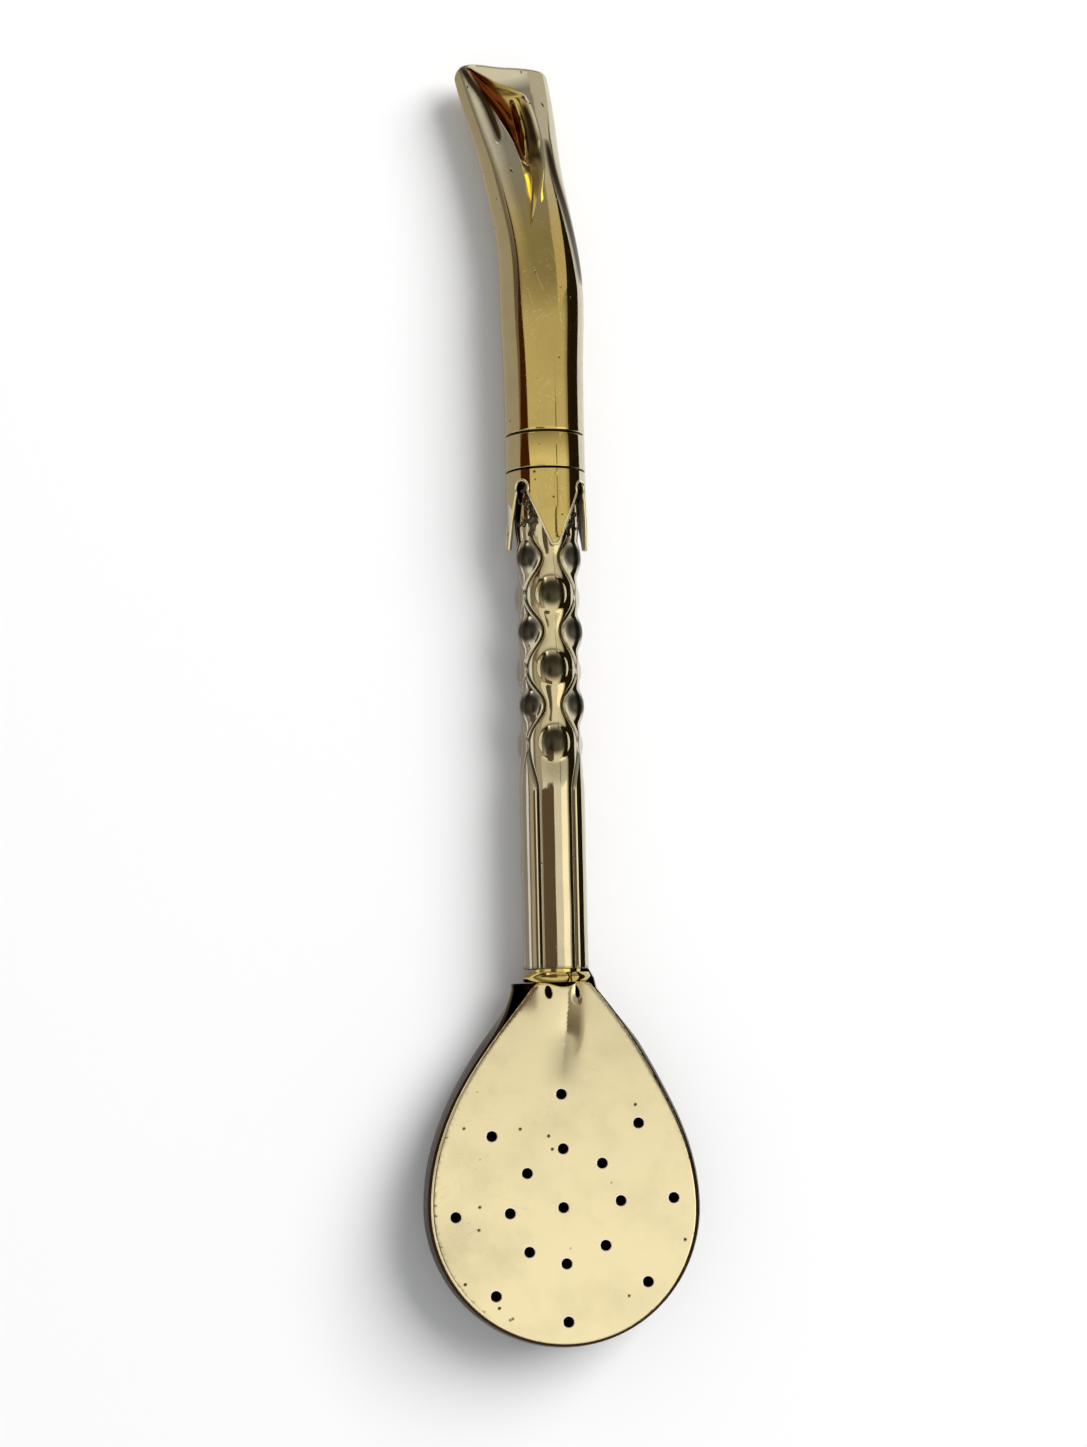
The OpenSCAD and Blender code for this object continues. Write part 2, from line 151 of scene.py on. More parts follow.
class StrainerSizes(PropertyGroup):
    """Sizes of the sieve and the dish."""

    half_width: size("Half width", "Half of the sieve's width", 18.2 * MM)
    shoulder: size("Shoulder", "Distance from the lip to the widest place", 29.7 * MM)
    lip_half_width: size("Lip half width", "Half of the sieve's width at its lip", 4.15 * MM)
    sheet: size("Sheet", "Thickness of the sieve", 0.8 * MM)
    tilt: angle("Tilt", "Angle by which the sieve lifts from the stem", 6)
    lip_rise: size("Lip rise", "Height of the lip's ends over the straight line between the wings", 0.5 * MM)
    lip_hump: size("Lip hump", "Further height of the two humps in the lip's edge", 0.7 * MM)
    crease: size("Crease", "Depth of the crease between the two slots", 0.46 * MM)
    neck_right: size("Neck right", "Further width of the right side at the neck", 0.45 * MM)
    neck_drift: size("Neck drift", "Distance by which the hand-fitted neck sits off the middle", 0.5 * MM)
    crease_length: size("Crease length", "Distance below the lip at which the crease runs out", 14 * MM)
    hole_radius: size("Hole radius", "Radius of the holes", 0.7 * MM)
    ring_in: size("Inner circle", "Radius of the inner circle of holes", 7.8 * MM)
    ring_out: size("Outer circle", "Radius of the outer circle of holes", 15.3 * MM)
    holes: IntProperty(name="Holes", description="Number of holes on each circle", default=8, min=6, max=10)
    bevel: size("Bevel", "Width of the rounded edge of the sheet", 0.4 * MM)
    dish_wall: size("Dish wall", "Thickness of the dish's wall", 0.7 * MM)
    ledge: size("Ledge", "Ledge of the dish outside the sieve", 0.395 * MM)
    swell: size("Swell", "Push that rounds the dish's side out below its rim", 1.45 * MM)
    flat: FloatProperty(
        name="Flat", description="Share of the dish's width that is flat", default=0.45, subtype="FACTOR"
    )


class Finishes(PropertyGroup):
    """Colours of the metals."""

    brass: tint("Yellow brass", "Colour of the mouthpiece, ring, collar and shoulder", "#d0b96f")
    nickel: tint("Nickel silver", "Colour of the stem", "#cfc39b")
    # The strainer's colour is also on the collar's rolled edge as a painted highlight
    pale: tint("Pale brass", "Colour of the strainer", "#f5e9bf")
    # The plating colour is also the painted sheen on the sides, a greyer colour standing in for reflection
    plated_and_sheen: tint("Plating", "Colour of the worn plating left on the beak's tip and the sides", "#cbc5b2")
    bloom: tint("Bloom", "Colour of the red-brown bloom left in the hollow of the beak", "#73380e")
    burnished: tint("Burnished edge", "Colour of the burnished edges of the holes", "#fffaea")
    # The tarnish colour is also the painted dark reflection on the dish and the painted shade under the petals
    tarnish: tint("Tarnish", "Colour of the tarnish in grooves and pits", "#3a2c1a")
    # The stem's tarnish colour, in its grooves, is also the painted dark reflection on the domes' crowns
    stain: tint("Stain", "Colour of the tarnish in the stem's grooves and on its domes", "#25221a")
    solder: tint("Solder", "Colour of the old solder in the notches", "#57503f")


class StageLooks(PropertyGroup):
    """Looks of the floor and the light."""

    floor: tint("Floor", "Colour of the floor", "#f4f4f4")
    ambient: tint("Ambient", "Colour of the light that fills the shadow", "#b3b4b5")
    sky: tint("Sky", "Colour that the metal mirrors from above", "#fffaf0")
    horizon: tint("Horizon", "Colour that the metal mirrors from the sides", "#8f887c")
    key_power: FloatProperty(name="Key power", description="Power of the key light", default=63, unit="POWER")


def smooth(t):
    """Ease from 0 to 1."""
    t = min(1.0, max(0.0, t))
    return t * t * (3 - 2 * t)


def ramp(value, low, high):
    """Ease from 0 to 1 while a value goes from low to high."""
    return smooth((value - low) / (high - low))


def bell(t):
    """Return a bell curve of height 1."""
    return math.exp(-t * t)


def along(line, place):
    """Read a smooth line of places and values between its points."""
    if place <= line[0][0]:
        return line[0][1]
    for i in range(len(line) - 1):
        (a, low), (b, high) = line[i], line[i + 1]
        if place <= b:
            before, after = line[max(0, i - 1)], line[min(len(line) - 1, i + 2)]
            start = (high - before[1]) / (b - before[0]) * (b - a)
            end = (after[1] - low) / (after[0] - a) * (b - a)
            t = (place - a) / (b - a)
            value = (2 * t**3 - 3 * t**2 + 1) * low + (3 * t**2 - 2 * t**3) * high
            return value + (t**3 - 2 * t**2 + t) * start + (t**3 - t**2) * end
    return line[-1][1]


def turns(count):
    """Return a number of even turns round a circle."""
    return [math.tau * i / count for i in range(count)]


def on_axis(radius, turn, height):
    """Return the point at a radius, a turn from the front and a height along the stem."""
    return Vector((radius * math.sin(turn), FOOT_Y + height, AXIS_Z + radius * math.cos(turn)))


def grid_faces(rows, cols, close_rows, close_cols):
    """Return the quads of a grid of points, with its rows or columns closed on themselves."""
    faces = []
    for i in range(rows if close_rows else rows - 1):
        low, high = i * cols, (i + 1) % rows * cols
        for j in range(cols if close_cols else cols - 1):
            k = (j + 1) % cols
            faces.append((low + j, low + k, high + k, high + j))
    return faces


def rounded(outline, radius, steps=4):
    """Return a closed outline with its corners rounded."""
    points = [Vector(p) for p in outline]
    result = []
    for i, corner in enumerate(points):
        before, after = points[i - 1], points[(i + 1) % len(points)]
        cut = min(radius, (before - corner).length * 0.45, (after - corner).length * 0.45)
        start = corner + (before - corner).normalized() * cut
        end = corner + (after - corner).normalized() * cut
        for step in range(steps + 1):
            t = step / steps
            result.append((1 - t) ** 2 * start + 2 * t * (1 - t) * corner + t * t * end)
    return result


def lathe(profile, sides):
    """Turn a closed outline of radius and height round the stem's axis; the outer wall runs upwards."""
    points = [on_axis(r, turn, h) for r, h in profile for turn in turns(sides)]
    return points, grid_faces(len(profile), sides, True, True)


# Gap of the soldered fits; wall, tarnish and eased ends of the plugs; sides of the turned pieces
FIT_GAP = 0.02 * MM
PLUG_WALL, PLUG_TARNISH, PLUG_EASE = 0.6 * MM, 0.85, 0.15 * MM
PLUG_SIDES, RING_SIDES, SHOULDER_SIDES = 96, 160, 192


def plug_shape(low, high, radius):
    """Build a plain tube with eased ends."""
    profile = [(radius, low), (radius, high), (radius - PLUG_WALL, high), (radius - PLUG_WALL, low)]
    return lathe(rounded(profile, PLUG_EASE), PLUG_SIDES)


def sweep(path, radius, sides, closed=False):
    """Run a round wire along a path of points."""
    points, count = [], len(path)
    for i, place in enumerate(path):
        before = path[i - 1] if closed or i > 0 else path[i]
        after = path[(i + 1) % count] if closed or i < count - 1 else path[i]
        ahead = (after - before).normalized()
        out = Vector((place.x, 0.0, place.z - AXIS_Z)).normalized()
        side = ahead.cross(out).normalized()
        up = side.cross(ahead)
        for turn in turns(sides):
            points.append(place + radius * (math.cos(turn) * side + math.sin(turn) * up))
    faces = grid_faces(count, sides, closed, True)
    if not closed:
        faces.append(tuple(reversed(range(sides))))
        faces.append(tuple((count - 1) * sides + j for j in range(sides)))
    return points, faces


def thicken(points, faces, drop):
    """Close a sheet into a solid whose under side is moved by drop, a function of a point's place in the list."""
    count = len(points)
    edges = {}
    for face in faces:
        for i, a in enumerate(face):
            b = face[(i + 1) % len(face)]
            if edges.pop((b, a), None) is None:
                edges[(a, b)] = True
    under = [drop(i) for i in range(count)]
    closed = list(faces)
    closed += [tuple(count + i for i in reversed(face)) for face in faces]
    closed += [(b, a, count + a, count + b) for a, b in edges]
    return list(points) + under, closed


def join(*shapes):
    """Put several shapes' points and faces into one list each."""
    points, faces = [], []
    for part_points, part_faces in shapes:
        start = len(points)
        points += list(part_points)
        faces += [tuple(start + i for i in face) for face in part_faces]
    return points, faces


def inside_outline(point, outline):
    """Tell whether a flat point lies inside a closed outline."""
    hit, count = False, len(outline)
    for i in range(count):
        a, b = outline[i], outline[(i + 1) % count]
        if (a.y > point.y) != (b.y > point.y):
            if point.x < (b.x - a.x) * (point.y - a.y) / (b.y - a.y) + a.x:
                hit = not hit
    return hit


def sheet(edge, holes, inside, margin):
    """Fill a flat outline with triangles, leaving out its holes; return flat points and faces."""
    loops = [edge] + holes
    points, lines = [], []
    for loop in loops:
        start, count = len(points), len(loop)
        points += loop
        lines += [(start + i, start + (i + 1) % count) for i in range(count)]
    grid = {}
    for p in points:
        grid.setdefault((int(p.x // margin), int(p.y // margin)), []).append(p)
    for p in inside:
        cell = (int(p.x // margin), int(p.y // margin))
        near = [q for i in (-1, 0, 1) for j in (-1, 0, 1) for q in grid.get((cell[0] + i, cell[1] + j), [])]
        if all((p - q).length > margin for q in near) and inside_outline(p, edge):
            if not any(inside_outline(p, hole) for hole in holes):
                points.append(p)
    # The triangles are found in millimetres
    flat, _, faces, *_ = delaunay_2d_cdt([Vector(p) * 1000 for p in points], lines, [], 1, 1e-6)
    flat = [p / 1000 for p in flat]
    kept = []
    for face in faces:
        middle = sum((flat[i] for i in face), Vector((0.0, 0.0))) / len(face)
        if inside_outline(middle, edge) and not any(inside_outline(middle, hole) for hole in holes):
            a, b, c = (flat[i] for i in face[:3])
            turned = (b - a).x * (c - a).y - (b - a).y * (c - a).x
            kept.append(tuple(face) if turned > 0 else tuple(reversed(face)))
    return flat, kept


# What a mesh marks on its points for its metal; its tarnish mark also carries painted shade, shadow and dark
# reflection
MARKS = ("tarnish", "plating", "bloom")


def make_mesh(name, shape, materials, tarnish=None, plating=None, bloom=None, parts=None, sharp=40):
    """Make a smooth mesh from points and faces, with its tarnish and painted dark, its plating and painted sheen,
    and its bloom stored on its points.
    """
    points, faces = shape
    mesh = bpy.data.meshes.new(name)
    mesh.from_pydata([tuple(p) for p in points], [], faces)
    mesh.validate()
    mesh.shade_smooth()
    mesh.set_sharp_from_angle(angle=math.radians(sharp))
    for material in materials:
        mesh.materials.append(material)
    if parts:
        mesh.polygons.foreach_set("material_index", parts)
    for key, values in zip(MARKS, (tarnish, plating, bloom), strict=True):
        layer = mesh.attributes.new(key, "FLOAT", "POINT")
        if values:
            layer.data.foreach_set("value", values)
    return mesh


# Distance under which two points of a mesh are one
WELD = 0.002 * MM


def weld(mesh):
    """Merge points that lie on each other, and turn all faces outwards."""
    work = bmesh.new()
    work.from_mesh(mesh)
    bmesh.ops.remove_doubles(work, verts=work.verts, dist=WELD)
    bmesh.ops.recalc_face_normals(work, faces=work.faces)
    work.to_mesh(mesh)
    work.free()


# Painted sheen on the sides, a greyer colour standing in for reflection, and where the front without it ends, as
# shares of the radius
SHEEN_LEFT, SHEEN_FROM, SHEEN_TO = 0.85, 0.5, 0.85


def side_sheen(turn):
    """Share of the painted sheen, a greyer colour standing in for reflection, at a turn from the front."""
    return SHEEN_LEFT * ramp(abs(math.sin(turn)), SHEEN_FROM, SHEEN_TO)


def add_piece(name, mesh, body, slot, *nodes):
    """Put a finished mesh in the scene, riding on a body in place of its CAD nodes."""
    piece = bpy.data.objects.new(name, mesh)
    bpy.context.scene.collection.objects.link(piece)
    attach(piece, body)
    if nodes:
        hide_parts(*nodes)
    return piece


def add_node(tree, kind, inputs=None, **settings):
    """Add a node with its settings, set or link its inputs, and return its outputs."""
    node = tree.nodes.new(kind)
    for key, value in settings.items():
        setattr(node, key, value)
    for key, value in (inputs or {}).items():
        if isinstance(value, bpy.types.NodeSocket):
            tree.links.new(value, node.inputs[key])
        else:
            node.inputs[key].default_value = value
    return node.outputs


def bake_nodes(name, tree, values):
    """Run a geometry tree on an empty object and return the result as a plain mesh."""
    host = bpy.data.objects.new(name, bpy.data.meshes.new(name))
    bpy.context.scene.collection.objects.link(host)
    modifier = host.modifiers.new(name, "NODES")
    modifier.node_group = tree
    for item in tree.interface.items_tree:
        if item.in_out == "INPUT":
            modifier[item.identifier] = values[item.name]
    shown = host.evaluated_get(bpy.context.evaluated_depsgraph_get())
    mesh = bpy.data.meshes.new_from_object(shown)
    host.modifiers.remove(modifier)
    bpy.data.objects.remove(host)
    if not mesh.polygons:
        raise RuntimeError(f"{name} came out empty")
    return mesh


# Size of the sway that bends the hairlines, how far it bends them, and size of the patches that have them
HAIR_SWAY, HAIR_BEND, HAIR_PATCH = 14 * MM, 5 * MM, 6 * MM
# Turn and stretch of the hairlines' directions; turn, stretch and share of the round pits and of the long nicks
HAIRLINES = ((0.35, 45.0), (-0.9, 38.0), (1.3, 50.0))
PITS = ((0.0, 1.0, 1.0), (0.7, 3.0, 0.4))
# How much a hairline bares the metal, and the roughness that hairlines and tarnish add
HAIR_PALE, HAIR_ROUGH, TARNISH_ROUGH = 0.3, 0.12, 0.25
# Depth of a pit, and depth of a hairline as a share of it
PIT_DEPTH, HAIR_DEPTH = 0.06 * MM, 0.06
# Values of the noise between which the hairlines, their patches, the veil of tarnish and the dull clouds grow in
HAIR_CUT, PATCH_CUT, VEIL_CUT, CLOUD_CUT = (0.7, 0.8), (0.5, 0.62), (0.45, 0.8), (0.3, 0.75)
# Tarnish in the veil, and the least and greatest roughness of the clouds as shares of the metal's
VEIL_TARNISH, CLOUD_ROUGH = 0.1, (0.75, 1.4)


def polished_metal(name, colour, tarnish, rough, cloud, scratch, pits):
    """Build a polished metal with dull clouds, scratches and pits, and with its mesh's marks; sizes are in mm."""
    material = bpy.data.materials.new(name)
    material.use_nodes = True
    tree = material.node_tree
    tree.nodes.clear()
    looks = bpy.context.scene.bombilla_finishes
    place = add_node(tree, "ShaderNodeTexCoord")["Object"]
    clouds = add_node(
        tree, "ShaderNodeTexNoise", {"Vector": place, "Scale": 1 / (cloud * MM), "Detail": 3.0, "Roughness": 0.6}
    )["Fac"]

    # Hairlines: noise drawn out along three directions on a slightly bent place, cut to thin lines in a few patches
    sway = add_node(tree, "ShaderNodeTexNoise", {"Vector": place, "Scale": 1 / HAIR_SWAY, "Detail": 0.0})["Color"]
    bent = add_node(
        tree, "ShaderNodeVectorMath", {0: sway, 1: (HAIR_BEND,) * 3, 2: place}, operation="MULTIPLY_ADD"
    )["Vector"]
    width, hair = scratch * MM, None
    for turn, stretch in HAIRLINES:
        drawn = add_node(
            tree,
            "ShaderNodeMapping",
            {"Vector": bent, "Rotation": (0.0, 0.0, turn), "Scale": (width, width * stretch, width)},
            vector_type="TEXTURE",
        )["Vector"]
        grain = add_node(tree, "ShaderNodeTexNoise", {"Vector": drawn, "Scale": 1.0, "Detail": 0.0})["Fac"]
        line = add_node(
            tree,
            "ShaderNodeMapRange",
            {"Value": grain, "From Min": HAIR_CUT[0], "From Max": HAIR_CUT[1]},
            clamp=True,
        )["Result"]
        spread = add_node(
            tree,
            "ShaderNodeMapping",
            {"Vector": place, "Location": (turn, 0.0, 0.0), "Scale": (1 / HAIR_PATCH,) * 3},
        )["Vector"]
        patch = add_node(tree, "ShaderNodeTexNoise", {"Vector": spread, "Scale": 1.0, "Detail": 1.0})["Fac"]
        chosen = add_node(
            tree,
            "ShaderNodeMapRange",
            {"Value": patch, "From Min": PATCH_CUT[0], "From Max": PATCH_CUT[1]},
            clamp=True,
        )["Result"]
        kept = add_node(tree, "ShaderNodeMath", {0: line, 1: chosen}, operation="MULTIPLY")["Value"]
        if hair:
            kept = add_node(tree, "ShaderNodeMath", {0: hair, 1: kept}, operation="MAXIMUM")["Value"]
        hair = kept

    # Pits and nicks: small dark dots, round or drawn out, in some of the cells of a scattered pattern
    spacing, radius, share = pits[0] * MM, pits[1] * MM, pits[2]
    pit = None
    for turn, stretch, part in PITS:
        drawn = add_node(
            tree,
            "ShaderNodeMapping",
            {"Vector": place, "Rotation": (0.0, 0.0, turn), "Scale": (spacing, spacing * stretch, spacing)},
            vector_type="TEXTURE",
        )["Vector"]
        cells = add_node(tree, "ShaderNodeTexVoronoi", {"Vector": drawn, "Scale": 1.0})
        dot = add_node(
            tree,
            "ShaderNodeMapRange",
            {"Value": cells["Distance"], "From Min": radius / spacing, "From Max": 0.4 * radius / spacing},
            clamp=True,
        )["Result"]
        lot = add_node(tree, "ShaderNodeSeparateColor", {"Color": cells["Color"]})["Red"]
        chosen = add_node(tree, "ShaderNodeMath", {0: lot, 1: part * share}, operation="LESS_THAN")["Value"]
        mark = add_node(tree, "ShaderNodeMath", {0: dot, 1: chosen}, operation="MULTIPLY")["Value"]
        if pit:
            mark = add_node(tree, "ShaderNodeMath", {0: pit, 1: mark}, operation="MAXIMUM")["Value"]
        pit = mark

    # Tarnish, with the painted shade and dark reflection that the mesh marks with it, lies where the mesh marks it,
    # in the pits, and as a light veil in the clouds
    marked, plating, bloom = (add_node(tree, "ShaderNodeAttribute", attribute_name=key)["Fac"] for key in MARKS)
    veil = add_node(
        tree,
        "ShaderNodeMapRange",
        {"Value": clouds, "From Min": VEIL_CUT[0], "From Max": VEIL_CUT[1], "To Max": VEIL_TARNISH},
        clamp=True,
    )["Result"]
    deep = add_node(tree, "ShaderNodeMath", {0: pit, 1: marked}, operation="MAXIMUM")["Value"]
    cover = add_node(tree, "ShaderNodeMath", {0: deep, 1: veil}, operation="MAXIMUM")["Value"]

    # Over the metal lie its bared hairlines, then plating with the painted sheen, bloom, and tarnish with the
    # painted darks
    bared = add_node(tree, "ShaderNodeMath", {0: hair, 1: HAIR_PALE}, operation="MULTIPLY")["Value"]
    face = colour
    for part, over in ((bared, looks.burnished), (plating, looks.plated_and_sheen), (bloom, looks.bloom), (cover, tarnish)):
        face = add_node(
            tree, "ShaderNodeMix", {"Factor": part, "A": face, "B": tuple(over)}, data_type="RGBA"
        )["Result"]

    # Clouds, hairlines and tarnish dull the polish, and pits and hairlines dent it
    gloss = add_node(
        tree,
        "ShaderNodeMapRange",
        {
            "Value": clouds,
            "From Min": CLOUD_CUT[0],
            "From Max": CLOUD_CUT[1],
            "To Min": rough * CLOUD_ROUGH[0],
            "To Max": rough * CLOUD_ROUGH[1],
        },
        clamp=True,
    )["Result"]
    for part, added in ((hair, HAIR_ROUGH), (cover, TARNISH_ROUGH)):
        gloss = add_node(tree, "ShaderNodeMath", {0: part, 1: added, 2: gloss}, operation="MULTIPLY_ADD")["Value"]
    dents = add_node(tree, "ShaderNodeMath", {0: hair, 1: HAIR_DEPTH, 2: pit}, operation="MULTIPLY_ADD")["Value"]
    scored = add_node(
        tree, "ShaderNodeBump", {"Strength": 0.35, "Distance": PIT_DEPTH, "Height": dents}, invert=True
    )["Normal"]
    shader = add_node(
        tree,
        "ShaderNodeBsdfPrincipled",
        {"Base Color": face, "Metallic": 1.0, "Roughness": gloss, "Normal": scored},
    )
    add_node(tree, "ShaderNodeOutputMaterial", {"Surface": shader["BSDF"]})
    return material


# Each metal: its material, the finishes that colour it and its tarnish with the painted darks, its roughness, the
# sizes of its clouds and scratches in mm, and the spacing and radius in mm and the share of its pits
METALS = {
    # Cast and turned brass, hand polished: deep yellow, glossy, with casting pits and light wear
    "yellow_brass": ("polished_yellow_brass", "brass", "tarnish", 0.06, 5, 0.14, (1.7, 0.2, 0.3)),
    # Hammered brass sheet, polished: the same yellow with many more pits
    "pitted_brass": ("pitted_yellow_brass", "brass", "tarnish", 0.07, 4, 0.14, (1.2, 0.24, 0.5)),
    # Pressed nickel silver tube, polished on the lobes: pale, with tarnish in the grooves and a painted dark
    # reflection on the domes' crowns
    "nickel_silver": ("polished_nickel_silver", "nickel", "stain", 0.06, 6, 0.14, (2.6, 0.2, 0.2)),
    # Rolled sheet of pale brass, polished: cream yellow, fine scratches and dark nicks; on the collar's rolled edge
    # it is a painted highlight
    "pale_brass": ("polished_pale_brass", "pale", "tarnish", 0.13, 9, 0.12, (2, 0.3, 0.32)),
    # Edge of a drilled hole rubbed bright: the pale brass almost white
    "burnished_edge": ("burnished_pale_brass", "burnished", "tarnish", 0.16, 9, 0.12, (2.2, 0.1, 0.05)),
    # Grey tin solder gone dull in the corners: darker and rougher than the brass
    "old_solder": ("old_tin_solder", "solder", "tarnish", 0.24, 2, 0.3, (0.9, 0.2, 0.5)),
}


def metal(name):
    """Return one of the metals, built the first time it is asked for."""
    label, colour, tarnish, *grain = METALS[name]
    if label in bpy.data.materials:
        return bpy.data.materials[label]
    looks = bpy.context.scene.bombilla_finishes
    return polished_metal(label, tuple(getattr(looks, colour)), tuple(getattr(looks, tarnish)), *grain)


# Points round the stem, and rows of its plain part, its relief and its hidden top
STEM_SIDES, PLAIN_ROWS, RELIEF_ROWS, HIDDEN_ROWS = 288, 40, 270, 8
# Unevenness of the skin, and its size round and along the stem
STEM_UNEVEN, UNEVEN_TURN, UNEVEN_RUN = 0.02 * MM, 1.4, 3.5 * MM
# Painted dark reflection on a dome's crown, painted shadow over a short run at the cut end, and tarnish in the bore
CROWN_REFLECTION, END_SHADOW, END_RUN, BORE_TARNISH = 0.92, 0.9, 0.15 * MM, 0.35
# Plating left on the front of the stem's plain part
FRONT_PLATING = 0.4
# The stem's hand-cut lower end stands this far above its CAD end, with waves of this height and number, which even
# out over this run; its edge is eased over this height by this depth
STEM_CUT, CUT_WAVE, CUT_WAVES, CUT_RUN = 0.4 * MM, 0.12 * MM, 1.7, 4 * MM
CUT_EDGE, CUT_EASE = 0.12 * MM, 0.1 * MM
# Share of a dome pitch in which the grooves begin to swing, and the last dome's distance below the petals' tips
RELIEF_RUN, DOME_FALL = 0.65, 1.56 * MM
# Share of a dome's height at which its round cap runs out into the lobe
DOME_FOOT = 0.12
# The painted dark reflection on a side dome lies this far off its middle towards the straw's front or back, each
# lies this far towards the mouthpiece, and those at the front are larger by this share
CROWN_LEAN, CROWN_LIFT, CROWN_FRONT = 1.2 * MM, 0.15 * MM, 0.35
# Share of its radius at which a painted reflection begins to fade, and the share over which it fades
FADE_FROM, FADE_RUN = 0.6, 0.5


class StemRule:
    """Shape of the stem's skin, as a rule of the turn and the height."""

    def __init__(self, sizes):
        self.sizes = sizes
        petal_tip = COLLAR_LOW.y - FOOT_Y
        self.last = petal_tip - DOME_FALL
        self.first = self.last - (sizes.dome_rows - 0.5) * sizes.dome_pitch
        self.low = self.first - RELIEF_RUN * sizes.dome_pitch
        self.high = self.last + sizes.dome_pitch / 2

    def swing(self, height):
        """Turn by which the grooves stand off the even sixth."""
        s = self.sizes
        wave = 1.0 if height < self.first else math.cos(math.tau * (height - self.first) / s.dome_pitch)
        return s.widen + self.relief(height) * (s.spread + s.swing * wave)

    def relief(self, height):
        """Share of the pressed relief that a height has."""
        grown = ramp(height, self.low, self.first)
        return grown * (1 - ramp(height, self.last, self.high))

    def groove(self, turn, height):
        """Depth share of the nearest groove, and how far the place lies from the middle of its lobe."""
        s = self.sizes
        swing = self.swing(height)
        deepest, left, right = 0.0, math.pi, math.pi
        for k in range(s.lobes):
            line = (k + 0.5) * math.tau / s.lobes + (swing if k % 2 == 0 else -swing)
            off = turn - line
            off -= math.tau * round(off / math.tau)
            deepest = max(deepest, bell(off * s.radius / (s.groove_width / 2)))
            if off > 0:
                left = min(left, off)
            else:
                right = min(right, -off)
        return deepest, (left - right) / (left + right)

    def side_lobes(self, turn, height):
        """Share by which a place of the relief lies outside the front lobe's grooves."""
        off = abs(turn - math.tau * round(turn / math.tau))
        past = off - math.pi / self.sizes.lobes - self.swing(height)
        return self.relief(height) * smooth(past * self.sizes.radius / self.sizes.groove_width)

    def dome(self, turn, height):
        """Rise of the nearest dome, and share of the painted dark reflection on its crown."""
        s = self.sizes
        rise, crown_dark = 0.0, 0.0
        for k in range(s.lobes):
            lobe = k * math.tau / s.lobes
            off = turn - lobe
            across = (off - math.tau * round(off / math.tau)) * s.radius
            lean = CROWN_LEAN * math.sin(2 * lobe)
            crown = s.dome_crown * (1 + CROWN_FRONT * math.cos(lobe))
            for i in range(s.dome_rows):
                up = height - self.first - (i + (k % 2) / 2) * s.dome_pitch
                cap = 1 - (math.hypot(across, up) / s.dome_radius) ** 2
                if cap < DOME_FOOT:
                    cap = DOME_FOOT * math.exp(cap / DOME_FOOT - 1)
                rise = max(rise, s.dome_height * cap)
                far = math.hypot(across + lean, up - CROWN_LIFT) / crown
                crown_dark = max(crown_dark, 1 - smooth((far - FADE_FROM) / FADE_RUN))
        return rise, crown_dark


def cut_end(turn, height):
    """Lift of the stem's hand-cut lower end."""
    wave = noise.noise(Vector((math.sin(turn) * CUT_WAVES, math.cos(turn) * CUT_WAVES, 0.5)))
    return (STEM_CUT + 2 * CUT_WAVE * wave) * max(0.0, 1 - height / CUT_RUN)


def stem_shape(rule):
    """Build the stem's skin, its ends and its bore; return the shape, its tarnish with painted dark reflection and
    shadow, and its plating with painted sheen.
    """
    s = rule.sizes
    plain = [rule.low * i / PLAIN_ROWS for i in range(1, PLAIN_ROWS)]
    pressed = [rule.low + (rule.high - rule.low) * i / RELIEF_ROWS for i in range(RELIEF_ROWS)]
    hidden = [rule.high + (s.length - rule.high) * i / HIDDEN_ROWS for i in range(HIDDEN_ROWS)]
    heights = [0.0, CUT_EDGE * 0.3, CUT_EDGE] + plain + pressed + hidden + [s.length]
    points, tarnish, plating = [], [], []
    for height in heights:
        eased = CUT_EASE * (1 - smooth(height / CUT_EDGE))
        for turn in turns(STEM_SIDES):
            groove, across = rule.groove(turn, height)
            place = Vector((math.sin(turn) * UNEVEN_TURN, math.cos(turn) * UNEVEN_TURN, height / UNEVEN_RUN))
            rise, crown_dark = rule.dome(turn, height) if rule.low < height < rule.high else (0.0, 0.0)
            sunk = s.groove_depth * groove + s.bulge * across**2 + eased + s.relief * rule.relief(height)
            sunk += STEM_UNEVEN * noise.noise(place) - rise
            points.append(on_axis(s.radius - sunk, turn + s.turn, height + cut_end(turn, height)))
            # Tarnish in the grooves, painted dark reflection on the domes' crowns and painted shadow at the cut end
            dark = max(groove**2, CROWN_REFLECTION * crown_dark, END_SHADOW * bell(height / END_RUN))
            tarnish.append(min(1.0, dark))
            # The front of the plain part keeps some plating; the sides and the side lobes get the painted sheen,
            # standing in for reflection
            front = FRONT_PLATING * (1 - rule.relief(height))
            plating.append(max(side_sheen(turn + s.turn), front, rule.side_lobes(turn, height)))
    for height in (s.length, 0.0):
        for turn in turns(STEM_SIDES):
            points.append(on_axis(s.bore, turn + s.turn, height + cut_end(turn, height)))
            tarnish.append(BORE_TARNISH)
            plating.append(0.0)
    return (points, grid_faces(len(heights) + 2, STEM_SIDES, True, True)), tarnish, plating


class BOMBILLA_OT_stem(Operator):
    """Make the lobed stem and the domes pressed into it"""

    bl_idname = "bombilla.stem"
    bl_label = "Stem"
    bl_options = {"REGISTER", "UNDO"}

    def execute(self, context):
        shape, tarnish, plating = stem_shape(StemRule(context.scene.bombilla_stem))
        skin = make_mesh("stem", shape, [metal("nickel_silver")], tarnish, plating)
        add_piece("stem", skin, "stem", "nickel_silver", "stem_tube")
        return {"FINISHED"}


# Turn of the collar on the stem, and lean of the eyes beside the front petal, away from its middle
COLLAR_TURN, EYE_LEAN = math.radians(6), 0.45 * MM
# Angle under an eye's middle at which the petals' edges meet it
EYE_MEET = math.radians(25)
